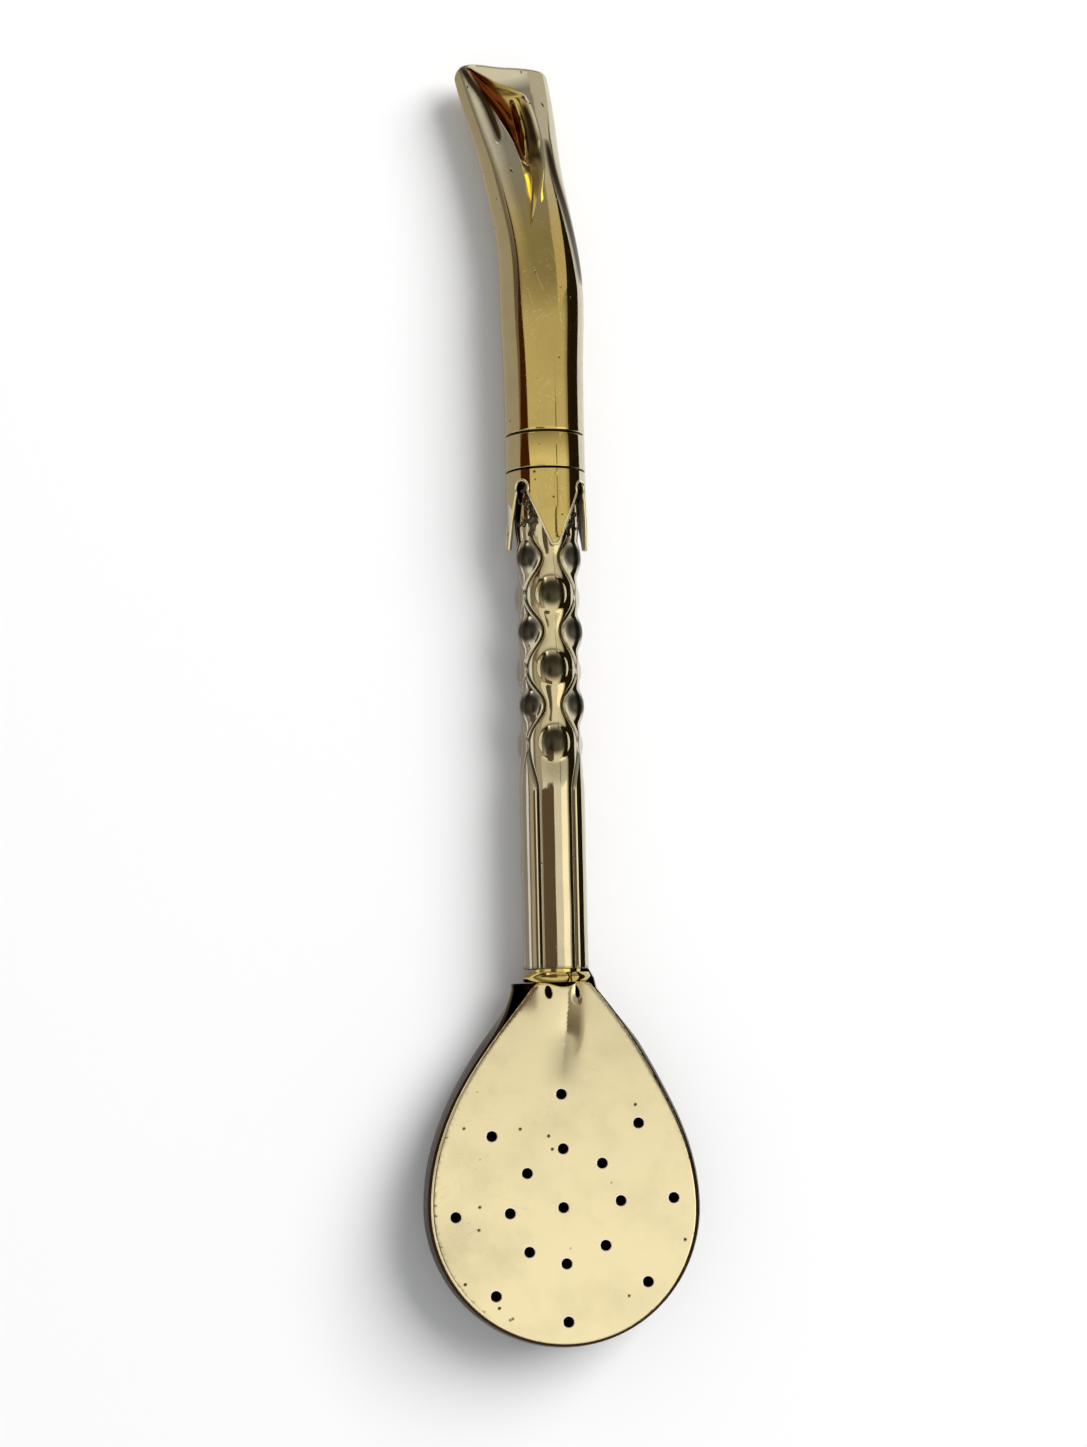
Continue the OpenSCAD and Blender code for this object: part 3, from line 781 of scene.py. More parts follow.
# Steps round an eye, along a petal's edge, round the top, up the seam and along the scored line
EYE_STEPS, EDGE_STEPS, TOP_STEPS, SEAM_STEPS, SCORE_STEPS = 24, 26, 120, 12, 40
# Spacing of the points inside the sheet, and their least distance from its lines
COLLAR_FILL, COLLAR_MARGIN = 0.42 * MM, 0.1 * MM
# Line scored down the front petal: its place right of the petal's middle, its ends below the collar's top, and its
# depth
SCORE_SIDE, SCORE_TOP, SCORE_END, SCORE_DEPTH = 0.5 * MM, 0.9 * MM, 5.2 * MM, 0.05 * MM


def notch_line(s, low, high, lean):
    """Return the outline of one notch on the unrolled collar, from its left petal tip over the eye to its right."""
    half = math.pi * s.radius / s.petals - s.tip_width / 2
    middle = high - s.eye_radius
    arch = []
    for i in range(EYE_STEPS + 1):
        turn = math.pi + EYE_MEET - (math.pi + 2 * EYE_MEET) * i / EYE_STEPS
        arch.append(Vector((lean + s.eye_radius * math.cos(turn), middle + s.eye_radius * math.sin(turn))))
    left = [Vector((-half, low)).lerp(arch[0], i / EDGE_STEPS) for i in range(EDGE_STEPS)]
    right = [arch[-1].lerp(Vector((half, low)), i / EDGE_STEPS) for i in range(1, EDGE_STEPS + 1)]
    return left + arch + right


def collar_shape(s):
    """Build the collar's flat sheet with its petals; return it, its notch outlines, its lower and upper end."""
    low, top = COLLAR_LOW.y - FOOT_Y, COLLAR_HIGH.y - FOOT_Y
    high = low + s.petal_length
    pitch = math.tau * s.radius / s.petals
    foot = []
    for i in range(s.petals):
        lean = EYE_LEAN if i == 0 else -EYE_LEAN if i == s.petals - 1 else 0.0
        foot += [p + Vector(((i + 0.5) * pitch, 0.0)) for p in notch_line(s, low, high, lean)]
    width = math.tau * s.radius
    edge = [Vector((0.0, low))] + foot + [Vector((width, low))]
    rise = [(top - low) * i / SEAM_STEPS for i in range(1, SEAM_STEPS)]
    edge += [Vector((width, low + up)) for up in rise]
    edge += [Vector((width * (1 - i / TOP_STEPS), top)) for i in range(TOP_STEPS + 1)]
    edge += [Vector((0.0, top - up)) for up in rise]
    inside = []
    for i in range(1, int((top - low) / COLLAR_FILL)):
        for j in range(1, int(width / COLLAR_FILL)):
            if abs(j * COLLAR_FILL - SCORE_SIDE) > 2 * s.scored:
                inside.append(Vector((j * COLLAR_FILL, low + i * COLLAR_FILL)))
    for i in range(SCORE_STEPS + 1):
        for side in (-1, 0, 1):
            height = top - SCORE_TOP - (SCORE_END - SCORE_TOP) * i / SCORE_STEPS
            inside.append(Vector((SCORE_SIDE + side * s.scored / 2, height)))
    return sheet(edge, [], inside, COLLAR_MARGIN), foot, low, top


# Solder in a notch: rows and columns of its skin; its rise, how deep it starts under the stem's lobes, size of its
# lumps and its reach beside the eye; its foot above the petals' tips, its gap to the collar and its back's depth
SOLDER_ROWS, SOLDER_COLS = 44, 36
SOLDER_LIFT, SOLDER_SUNK, SOLDER_LUMP, SOLDER_REACH = 0.55 * MM, 0.3 * MM, 1.1 * MM, 2.6 * MM
SOLDER_FOOT, SOLDER_GAP, SOLDER_BACK = 1.5 * MM, 0.03 * MM, 0.8 * MM


def solder_shape(s, stem_radius, low, high):
    """Build the lumps of old solder in the notches, a rough skin that shows where it stands above the stem."""
    rows, cols = SOLDER_ROWS, SOLDER_COLS
    most = s.radius - s.wall - SOLDER_GAP
    shapes = []
    for k in range(s.petals):
        points = []
        for i in range(rows):
            height = low + (high - low) * i / (rows - 1)
            reach = (0.3 + 0.7 * (1 - i / rows)) * SOLDER_REACH + s.eye_radius
            for j in range(cols):
                across = reach * (2 * j / (cols - 1) - 1)
                turn = COLLAR_TURN + (k + 0.5) * math.tau / s.petals + across / s.radius
                at = on_axis(s.radius, turn, height) / SOLDER_LUMP
                lump = noise.noise(at) + 0.5 * noise.noise(at * 2.3)
                edge = min(1.0, 2.5 * (1 - abs(2 * j / (cols - 1) - 1))) * smooth(4 * i / rows)
                rise = SOLDER_LIFT * edge * (0.35 + 0.9 * lump + smooth(3 * i / rows - 2))
                points.append((turn, height, min(most, stem_radius - SOLDER_SUNK + rise)))
        front = [on_axis(r, turn, height) for turn, height, r in points]
        back = [on_axis(stem_radius - SOLDER_BACK, turn, height) for turn, height, _ in points]
        shapes.append(thicken(front, grid_faces(rows, cols, False, False), lambda i, back=back: back[i]))
    return join(*shapes)


# Drips of solder in the front notch: turn from the front in degrees, height below the collar's top, ring radius,
# wire radius, first and last angle round the ring, in mm and degrees
DRIPS = (
    (-37, 5.3, 0.34, 0.11, 0, 360),
    (-49, 4.2, 0.5, 0.13, 150, 400),
    (-52, 7.4, 0.42, 0.12, 170, 380),
)
# Steps along a drip, and points round a drip and round the rolled edge
DRIP_STEPS, WIRE_SIDES = 24, 10


def drip_shape(s, top):
    """Build the little rings and hooks of solder that ran down in the front notch."""
    shapes = []
    for turn, fall, ring, wire, first, last in DRIPS:
        path = []
        for i in range(DRIP_STEPS + 1):
            way = math.radians(first + (last - first) * i / DRIP_STEPS)
            across = ring * MM * math.cos(way) / s.radius
            height = top - fall * MM + ring * MM * math.sin(way)
            path.append(on_axis(s.radius - s.wall, math.radians(turn) + across, height))
        whole = last - first == 360
        shapes.append(sweep(path[:-1] if whole else path, wire * MM, WIRE_SIDES, whole))
    return join(*shapes)


# Share of its radius by which the rolled edge is raised, and the cosine of the turn and the run in which it sinks
# at the back
BEAD_RAISED, BEAD_FROM, BEAD_RUN = 0.5, -0.95, 0.4
# Tarnish in the scored line, and the bush's eased edges
SCORE_TARNISH, BUSH_EASE = 0.8, 0.08 * MM


class BOMBILLA_OT_collar(Operator):
    """Make the petal collar, its rolled edge, the solder in its notches and the bush inside it"""

    bl_idname = "bombilla.collar"
    bl_label = "Petal collar"
    bl_options = {"REGISTER", "UNDO"}

    def execute(self, context):
        s = context.scene.bombilla_collar
        (flat, faces), foot, low, top = collar_shape(s)

        def wrap(p, radius):
            return on_axis(radius, p.x / s.radius + COLLAR_TURN, p.y)

        def scored(p):
            near = 1 - abs(p.x - SCORE_SIDE) / (s.scored / 2)
            return max(0.0, near) if top - SCORE_END <= p.y <= top - SCORE_TOP else 0.0

        front = [wrap(p, s.radius - SCORE_DEPTH * scored(p)) for p in flat]
        solid = thicken(front, faces, lambda i: wrap(flat[i], s.radius - s.wall))
        rim = []
        for p in [Vector((0.0, low))] + foot:
            raised = BEAD_RAISED * smooth((math.cos(p.x / s.radius + COLLAR_TURN) - BEAD_FROM) / BEAD_RUN)
            rim.append(wrap(p, s.radius + s.bead_radius * (raised - 1)))
        bead = sweep(rim, s.bead_radius, WIRE_SIDES, True)
        shape = join(solid, bead)
        # The scored line holds tarnish; the under side is fully dark as painted shade in the gap under the petals
        tarnish = [SCORE_TARNISH * scored(p) for p in flat] + [1.0] * len(flat) + [0.0] * len(bead[0])
        parts = [0] * len(solid[1]) + [1] * len(bead[1])
        # The sides take the painted sheen, a greyer colour standing in for reflection
        plating = [side_sheen(p.x / s.radius + COLLAR_TURN) for p in flat] + [0.0] * (len(flat) + len(bead[0]))
        # The rolled edge takes the paler strainer brass as a painted highlight
        metals = [metal("pitted_brass"), metal("pale_brass")]
        mesh = make_mesh("petal_collar", shape, metals, tarnish, plating, parts=parts, sharp=50)
        weld(mesh)
        add_piece("petal_collar_sheet", mesh, "stem", "yellow_brass", "petal_collar")

        stem = context.scene.bombilla_stem
        solder = solder_shape(s, stem.radius, low + SOLDER_FOOT, low + s.petal_length)
        lumps = make_mesh("solder", join(solder, drip_shape(s, top)), [metal("old_solder")], sharp=80)
        weld(lumps)
        add_piece("notch_solder", lumps, "stem", "yellow_brass")

        base, end = BUSH_LOW.y - FOOT_Y, BUSH_HIGH.y - FOOT_Y
        bore, grip, outer = stem.bore, stem.radius + FIT_GAP, s.radius - s.wall - FIT_GAP
        profile = [(outer, base), (outer, end), (bore, end), (bore, stem.length), (grip, stem.length), (grip, base)]
        shape = lathe(rounded(profile, BUSH_EASE), PLUG_SIDES)
        bush = make_mesh("collar_bush", shape, [metal("yellow_brass")], [PLUG_TARNISH] * len(shape[0]))
        add_piece("collar_bush_ring", bush, "stem", "yellow_brass", "collar_bush")
        return {"FINISHED"}


# Points round the beak, rows outside, over the lip and inside, and how much the outer rows crowd towards the tip
BEAK_SIDES, BEAK_ROWS, LIP_ROWS, INNER_ROWS, CROWDING = 256, 190, 8, 60, 0.45
# Inset and rise of the eased edge at the beak's foot, in mm
BEAK_FOOT = ((0.14, 0.0), (0.04, 0.05), (0.0, 0.14))
# Places along the beak as shares of its length, and the full place's spread and swell
BEND_FROM, BEND_SPAN = 0.33, 0.29
FLATTEN_FROM, FULL_AT, FLARE_FROM = 0.3, 0.36, 0.69
SPREAD, FULLER = 0.14, 0.35 * MM
# The tip's slope begins at this share of its half width and runs over this share; its cuts grow in at this share of
# the length, over this share
SLOPE_FROM, SLOPE_RUN, TIP_FROM, TIP_RUN = -0.85, 0.9, 0.8, 0.2
# Hollow of the beak in mm: distance below the tip and place right of the stem's axis, for its left edge, its bottom
# and its right edge under the lip; its depth; and the lines pinched on both sides of it
HOLLOW_LEFT = ((0.6, -10.4), (1.3, -9.8), (4.1, -8.4), (8.0, -6.0), (11.8, -3.9), (15.4, -3.0), (24.6, -2.0))
HOLLOW_BOTTOM = (
    (0.6, -10.1), (1.7, -9.0), (3.1, -7.6), (6.7, -4.7), (9.2, -3.9), (13.0, -2.7), (15.4, -1.5), (20.0, -1.4),
    (24.6, -1.9),
)
HOLLOW_RIGHT = (
    (0.6, -9.8), (1.4, -8.6), (2.9, -5.8), (3.7, -3.4), (4.2, -2.1), (5.0, -1.5), (6.2, -1.0), (9.8, 0.0),
    (12.1, 0.4), (15.6, 0.5), (20.0, -0.5), (24.6, -1.8),
)
# Ridge between the hollow's two valleys: its line, half width and share of the depth
RIDGE = ((4.5, -3.6), (6.5, -3.0), (9.2, -2.4), (12.0, -2.1), (14.6, -2.0))
RIDGE_HALF, RIDGE_SHARE = 0.42, 0.6
HOLLOW_DEEPEST = 2.5
HOLLOW_DEPTH = (
    (0.6, 0.0), (3.0, 0.7), (5.0, 1.6), (8.0, 2.5), (11.0, 2.3), (13.0, 1.5), (15.5, 0.75), (20.0, 0.4),
    (24.6, 0.0),
)
PINCHES = (
    ((0.2, -11.0), (2.9, -9.4), (5.4, -7.8), (9.3, -6.35), (11.7, -5.65)),
    ((11.0, 0.9), (15.6, 1.8), (22.0, 3.6), (27.0, 4.8), (32.0, 5.6)),
)
PINCH_HALF, PINCH_TARNISH = 0.55 * MM, 1.7
# Curve of the hollow's section, which sharpens to a plain crease between these distances below the tip
SECTION_CURVE, CREASED_FROM, CREASED_TO = 1.35, 12.5, 15.0
# Tarnish in the hollow's left and right valley, where the right one turns black, and where the polish reaches them
TARNISH_LEFT, TARNISH_RIGHT, BLACK_FROM, POLISHED_FROM, POLISHED_TO = 0.3, 1.0, 5.0, 13.5, 15.5
# Runs in mm over which the black begins beside the ridge and down the valley, share of it that the polish leaves,
# and share of the ridge that is rubbed bare
BLACK_SIDE, BLACK_RUN, BLACK_KEPT, RIDGE_BARE = 0.5, 1.5, 0.4, 0.8
# The hollow's finish ends at this share of its half width, over this share; the bloom ends this far right of the
# hollow's bottom, over this run, in mm
FINISH_TO, FINISH_RUN, BLOOM_TO, BLOOM_RUN = 0.75, 0.2, 0.8, 0.6
# Tarnish inside the beak
INSIDE_TARNISH = 0.5
# Plating left round the hollow, and where it is worn off, in mm below the tip
TIP_PLATING, WORN_FROM, WORN_TO = 0.9, 12.0, 27.0


class BeakRule:
    """Shape of the beak's skin, as a rule of the share of its length and the turn."""

    def __init__(self, sizes, foot_radius):
        self.sizes = sizes
        self.foot_radius = foot_radius
        self.base = BEAK_LOW.y - FOOT_Y
        self.length = BEAK_HIGH.y - BEAK_LOW.y

    def path(self, t):
        """Sideways place of the beak's middle."""
        u = (t - BEND_FROM) / BEND_SPAN
        if u <= 0:
            bent = 0.0
        elif u < 1:
            bent = BEND_SPAN * (u**3 - u**4 / 2)
        else:
            bent = BEND_SPAN * (u - 0.5)
        return -self.length * math.tan(self.sizes.bend) * bent

    def point(self, t, turn, inset, rise=0.0):
        """Point of the section at a share of the length, set in from the skin."""
        s = self.sizes
        flare = ramp(t, FLARE_FROM, 1)
        half_w = self.foot_radius + FULLER * bell((t - FULL_AT) / SPREAD)
        half_w += (s.tip_half_width - self.foot_radius) * flare
        flattened = ramp(t, FLATTEN_FROM, 1)
        half_t = self.foot_radius + (s.tip_half_depth - self.foot_radius) * flattened
        x = (half_w - inset) * math.sin(turn)
        z = (half_t - inset) * math.cos(turn)
        middle = self.path(t)
        below = (1 - t) * self.length
        if math.cos(turn) > 0:
            z += s.lip_flare * max(0.0, 1 - below / s.lip_length) ** 2 * math.cos(turn)
            z -= self.pressed(x + middle, below) * math.sqrt(math.cos(turn))
        share = math.sin(turn)
        corner = max(0.0, (abs(share) - 1) * half_w / s.tip_corner + 1)
        cut = s.tip_slope * smooth((share - SLOPE_FROM) / SLOPE_RUN)
        cut += s.tip_corner * (1 - math.sqrt(1 - min(1.0, corner) ** 2))
        y = self.base + t * self.length + rise - cut * smooth((t - TIP_FROM) / TIP_RUN)
        return Vector((x + middle, FOOT_Y + y, AXIS_Z + z))

    def pressed(self, side, below):
        """Depth of the hollow and the pinched lines at a sideways place and a distance below the tip."""
        s = self.sizes
        b = below / MM
        depth = s.pinch * self.pinched(side, b)
        if HOLLOW_LEFT[0][0] < b < HOLLOW_LEFT[-1][0]:
            away = self.across(side, b)
            creased = ramp(b, CREASED_FROM, CREASED_TO)
            section = (1 - creased) * (1 - away**2) ** SECTION_CURVE + creased * (1 - away)
            section *= 1 - RIDGE_SHARE * self.ridge(side / MM, b)
            depth += s.hollow * along(HOLLOW_DEPTH, b) / HOLLOW_DEEPEST * section
        return depth

    def pinched(self, side, b):
        """Share of the depth of the lines pinched beside the hollow."""
        share = 0.0
        for line in PINCHES:
            first, last = line[0][0], line[-1][0]
            if first < b < last:
                run = math.sin(math.pi * (b - first) / (last - first))
                share = max(share, run**0.3 * bell((side - along(line, b) * MM) / PINCH_HALF))
        return share

    def ridge(self, x, b):
        """Share of the height of the ridge between the hollow's two valleys."""
        first, last = RIDGE[0][0], RIDGE[-1][0]
        if not first < b < last:
            return 0.0
        run = math.sin(math.pi * (b - first) / (last - first))
        return math.sqrt(run) * bell((x - along(RIDGE, b)) / RIDGE_HALF)

    def across(self, side, b):
        """How far a place lies from the hollow's bottom to its edge, from 0 to 1."""
        bottom = along(HOLLOW_BOTTOM, b)
        edge = along(HOLLOW_LEFT if side / MM < bottom else HOLLOW_RIGHT, b)
        return min(1.0, (side / MM - bottom) / (edge - bottom))

    def finish(self, place, turn):
        """Tarnish, plating and bloom at a point of the skin."""
        x, b = place.x / MM, (FOOT_Y + self.base + self.length - place.y) / MM
        # The sides take the painted sheen, a greyer colour standing in for reflection
        plating = side_sheen(turn)
        if math.cos(turn) <= 0:
            return 0.0, plating, 0.0
        plating = max(plating, TIP_PLATING * (1 - ramp(b, WORN_FROM, WORN_TO)))
        tarnish, bloom = min(1.0, PINCH_TARNISH * self.pinched(place.x, b)), 0.0
        if HOLLOW_LEFT[0][0] < b < HOLLOW_LEFT[-1][0]:
            inside = 1 - smooth((self.across(place.x, b) - FINISH_TO) / FINISH_RUN)
            black = smooth((x - along(RIDGE, b)) / BLACK_SIDE) * smooth((b - BLACK_FROM) / BLACK_RUN)
            covered = 1 - ramp(b, POLISHED_FROM, POLISHED_TO) * (1 - BLACK_KEPT * black)
            covered *= inside * (1 - RIDGE_BARE * self.ridge(x, b))
            tarnish = max(tarnish, covered * (TARNISH_LEFT + (TARNISH_RIGHT - TARNISH_LEFT) * black))
            bloom = covered * (1 - smooth((x - along(HOLLOW_BOTTOM, b) - BLOOM_TO) / BLOOM_RUN))
            plating *= 1 - inside
        return tarnish, plating, bloom


def beak_shape(rule):
    """Build the beak from its foot up the outside, over the lip and down the inside; return it and its finish."""
    wall = rule.sizes.wall
    lip = wall / 2 / rule.length
    rows = [(0.0, inset * MM, rise * MM) for inset, rise in BEAK_FOOT]
    for i in range(1, BEAK_ROWS + 1):
        share = i / BEAK_ROWS
        rows.append((share * (1 + CROWDING - CROWDING * share) * (1 - lip), 0.0, 0.0))
    for i in range(1, LIP_ROWS):
        turn = math.pi * i / LIP_ROWS
        rows.append((1 - lip, wall / 2 * (1 - math.cos(turn)), wall / 2 * math.sin(turn)))
    rows += [((1 - i / INNER_ROWS) * (1 - lip), wall, 0.0) for i in range(INNER_ROWS + 1)]
    points, marks = [], []
    for t, inset, rise in rows:
        for turn in turns(BEAK_SIDES):
            points.append(rule.point(t, turn, inset, rise))
            marks.append(rule.finish(points[-1], turn) if inset < wall else (INSIDE_TARNISH, 0.0, 0.0))
    tarnish, plating, bloom = zip(*marks, strict=True)
    return (points, grid_faces(len(rows), BEAK_SIDES, True, True)), tarnish, plating, bloom


# The ring's step is this much narrower than the beak's bore; its edges are eased by this, and its line darkens over
# this depth
STEP_GAP, RING_EASE, LINE_DARK = 0.1 * MM, 0.12 * MM, 0.15 * MM


class BOMBILLA_OT_beak(Operator):
    """Make the bent beak, its turned ring and its plug"""

    bl_idname = "bombilla.beak"
    bl_label = "Mouthpiece"
    bl_options = {"REGISTER", "UNDO"}

    def execute(self, context):
        s, collar = context.scene.bombilla_beak, context.scene.bombilla_collar
        brass = metal("yellow_brass")
        shape, tarnish, plating, bloom = beak_shape(BeakRule(s, collar.radius))
        beak = make_mesh("beak", shape, [brass], tarnish, plating, bloom, sharp=70)
        add_piece("beak_skin", beak, "beak", "yellow_brass", "beak_tube")

        low, high = RING_LOW.y - FOOT_Y, RING_HIGH.y - FOOT_Y
        top = BEAK_LOW.y - FOOT_Y
        seat, outer, line = BEAK_PLUG_HIGH.x + FIT_GAP, collar.radius, collar.radius - s.line
        step = outer - s.wall - STEP_GAP
        corners = [(seat, low), (outer, low), (outer, top - s.line), (line, top - s.line), (line, top)]
        profile = rounded(corners + [(step, top), (step, high), (seat, high)], RING_EASE)
        dark = [smooth((outer - p.x) / LINE_DARK) for p in profile for _ in range(RING_SIDES)]
        # The sides take the painted sheen, a greyer colour standing in for reflection
        plating = [side_sheen(turn) for _ in profile for turn in turns(RING_SIDES)]
        ring = make_mesh("beak_ring", lathe(profile, RING_SIDES), [brass], dark, plating)
        add_piece("turned_ring", ring, "beak", "yellow_brass", "beak_ring")

        plug = plug_shape(BEAK_PLUG_LOW.y - FOOT_Y, BEAK_PLUG_HIGH.y - FOOT_Y, BEAK_PLUG_HIGH.x)
        mesh = make_mesh("beak_plug", plug, [brass], [PLUG_TARNISH] * len(plug[0]))
        add_piece("beak_plug_tube", mesh, "beak", "yellow_brass", "beak_plug")
        return {"FINISHED"}


# Height of the fold in the CAD sheet; run of the neck's drift; place, slant and flanks of the crease, where it is
# deepest and where it starts to run out
CAD_FOLD = 1.3 * MM
DRIFT_RUN = 16 * MM
CREASE_SIDE, CREASE_SLANT = 0.9 * MM, 0.055
CREASE_LEFT, CREASE_RIGHT = 4.4 * MM, 3.6 * MM
CREASE_DEEP, CREASE_FROM = 7 * MM, 5 * MM
# Share of its depth that the crease has at the lip
CREASE_LIP = 0.7
# Middles and half widths of the two humps in the lip's edge
LIP_HUMPS = ((-2.1 * MM, 1.3 * MM), (2.65 * MM, 1.1 * MM))


class StrainerRule:
    """Outline, fold and place of the sieve, and the section of the dish."""

    def __init__(self, sizes):
        self.sizes = sizes
        self.lip_angle = math.acos(sizes.lip_half_width / sizes.half_width)
        self.lip_y = SIEVE_HIGH.y - (sizes.sheet + CAD_FOLD) * math.sin(sizes.tilt)
        self.lip_z = SIEVE_LOW.z

    def half(self, w, side=-1):
        """Half width of the sieve at a distance below the lip."""
        s = self.sizes
        wider = s.neck_right * (1 - smooth(w / DRIFT_RUN)) if side > 0 else 0.0
        return s.half_width * math.cos(self.lip_angle * (s.shoulder - w) / s.shoulder) + wider

    def lip(self, x):
        """Height of the lip's edge over the straight line between the wings."""
        s = self.sizes
        return s.lip_rise + s.lip_hump * max(bell((x - middle) / half) for middle, half in LIP_HUMPS)

    def edge_distance(self, x, w):
        """Distance of a place on the sheet from its outline."""
        s = self.sizes
        if w > s.shoulder:
            return s.half_width - math.hypot(x, w - s.shoulder)
        turn = self.lip_angle * (s.shoulder - w) / s.shoulder
        slope = s.half_width * self.lip_angle / s.shoulder * math.sin(turn)
        away = (self.half(w, 1 if x > 0 else -1) - abs(x)) / math.hypot(1, slope)
        return min(away, w + self.lip(x))

    def drift(self, w):
        """Sideways drift of the neck at a distance below the lip."""
        return self.sizes.neck_drift * (1 - smooth(w / DRIFT_RUN))

    def crease_line(self, w):
        """Sideways place of the crease at a distance below the lip."""
        return CREASE_SIDE - CREASE_SLANT * w

    def fold(self, x, w):
        """Height of the sheet under the lip, where a crease with a long left flank is pressed between the slots."""
        s = self.sizes
        if w >= s.crease_length:
            return 0.0
        grown = CREASE_LIP + (1 - CREASE_LIP) * smooth(w / CREASE_DEEP)
        fade = 1 - ramp(w, CREASE_FROM, s.crease_length)
        off = x - self.crease_line(w)
        flank = min(1.0, abs(off) / (CREASE_RIGHT if off > 0 else CREASE_LEFT))
        if off > 0:
            # The right flank is straight over its first half
            rest = 1 - 4 * flank / 3 if flank < 0.5 else 4 * (1 - flank) ** 2 / 3
        else:
            rest = (1 - flank) ** 2
        return -s.crease * grown * fade * rest

    def place(self, x, w, z):
        """Turn a place on the sheet into the frame."""
        tilt = self.sizes.tilt
        y = self.lip_y - w * math.cos(tilt) + z * math.sin(tilt)
        return Vector((x + self.drift(w), y, self.lip_z + w * math.sin(tilt) + z * math.cos(tilt)))


# Steps along a side of the sieve, round half of its tip, along its lip and along its crease
SIDE_STEPS, TIP_STEPS, LIP_STEPS, CREASE_STEPS = 72, 60, 40, 60


def sieve_outline(rule):
    """Return the sieve's outline, from the right end of the lip round the tip to the left end."""
    s = rule.sizes
    sides = []
    for side in (1, -1):
        run = [-s.lip_rise + (s.shoulder + s.lip_rise) * i / SIDE_STEPS for i in range(SIDE_STEPS + 1)]
        line = [Vector((side * rule.half(w, side), -w)) for w in run]
        for i in range(1, TIP_STEPS + 1):
            turn = math.pi / 2 * i / TIP_STEPS
            line.append(Vector((side * s.half_width * math.cos(turn), -s.shoulder - s.half_width * math.sin(turn))))
        sides.append(line)
    right, left = sides
    lip = []
    for i in range(1, LIP_STEPS):
        x = left[0].x + (right[0].x - left[0].x) * i / LIP_STEPS
        lip.append(Vector((x, rule.lip(x))))
    return list(reversed(right + left[-2::-1] + lip))


# Drift of the hand-drilled holes from their circles, in mm to the right and down: the inner circle from the
# top clockwise, the outer circle, then the middle hole
HOLE_DRIFT = (
    (0.0, 0.0), (-0.2, -0.2), (-0.1, -0.6), (-0.1, -0.2), (0.0, -0.2), (0.5, 0.4), (0.3, 0.7), (0.5, 0.9),
    (0.0, 0.1), (-0.3, -0.2), (-0.3, -0.8), (0.2, -0.5), (0.0, 0.0), (1.1, 0.8), (0.4, 1.0), (1.1, 1.1),
    (-0.2, 0.1),
)


def hole_places(s):
    """Return the flat place of every round hole."""
    places = []
    for ring in (s.ring_in, s.ring_out):
        for turn in turns(s.holes):
            places.append(Vector((ring * math.sin(turn), ring * math.cos(turn) - s.shoulder)))
    places.append(Vector((0.0, -s.shoulder)))
    return [p + Vector((d[0] * MM, -d[1] * MM)) for p, d in zip(places, HOLE_DRIFT, strict=True)]


# Slots by the lip: middle right of the sheet's middle and below the lip, half width and half length of the pressed
# edge, then the same four for the hole in it, its depth and how much wider its foot is than its head, in mm
SLOTS = (
    (-1.8, 0.48, 0.6, 1.0, -1.8, 0.48, 0.48, 0.88, 0.12, 0.0),
    (2.03, 0.93, 0.82, 1.53, 2.2, 0.5, 0.3, 0.85, 0.22, 0.35),
)
# Points round a slot, its slant, and the section of its edge as shares of the way to the hole and of the depth
SLOT_SIDES, SLOT_SLANT = 36, 0.1
SLOT_SECTION = ((0, 0), (0.12, 0.02), (0.45, 0.3), (0.8, 0.72), (1, 1))


def slot_line(x, w, half, reach, taper):
    """Return the outline of a slot, an oval that can widen towards its foot."""
    line = []
    for turn in turns(SLOT_SIDES):
        wide = half * math.sin(turn) * (1 - taper * math.cos(turn)) / (1 + 0.3 * taper)
        line.append(Vector((x + wide - SLOT_SLANT * reach * math.cos(turn), reach * math.cos(turn) - w)) * MM)
    return line


def slot_edge(slot, sheet_top, lift):
    """Build the pressed edge of a slot, from the sheet down to the hole in it and back under the sheet."""
    outer = slot_line(*slot[:4], slot[9])
    inner = slot_line(*slot[4:8], slot[9])
    depth = slot[8] * MM
    points = []
    for share, z in SLOT_SECTION:
        points += [lift(a.lerp(b, share), sheet_top - depth * z) for a, b in zip(outer, inner, strict=True)]
    points += [lift(p, 0.0) for p in inner]
    points += [lift(p, 0.0) for p in outer]
    return points, grid_faces(len(SLOT_SECTION) + 2, len(outer), True, True)


# Width of a hole's burnished edge, and points round a hole
RIM_WIDTH, HOLE_SIDES = 0.16 * MM, 40
# Fall of the sheet's rounded edge as a share of its width, and places of the points that round it
EDGE_FALL, EDGE_PLACES = 0.4, (0.18, 0.42, 0.7, 1.0)
# Points inside the sheet: their spacing and the distances below the lip between which it holds, and the half width
# that they fill, in mm; their least distance from the sheet's lines
SIEVE_FILLS, FILL_HALF = ((0.3, -1.2, 14.0), (0.7, 14.0, 48.0)), 19
SIEVE_MARGIN = 0.05 * MM


def rim_ring(s):
    """Build the burnished edge of one hole: over from the sheet and down through it."""
    hole, edge = s.hole_radius, s.hole_radius + RIM_WIDTH
    profile = [
        (edge + 0.02 * MM, s.sheet - 0.06 * MM),
        (edge, s.sheet + 0.015 * MM),
        (hole + 0.09 * MM, s.sheet + 0.02 * MM),
        (hole + 0.03 * MM, s.sheet - 0.02 * MM),
        (hole, s.sheet - 0.1 * MM),
        (hole, -0.01 * MM),
        (edge + 0.02 * MM, -0.01 * MM),
    ]
    points = []
    for radius, z in profile:
        for turn in turns(HOLE_SIDES):
            points.append(Vector((radius * math.cos(turn), radius * math.sin(turn), z)))
    return points, grid_faces(len(profile), HOLE_SIDES, True, True)


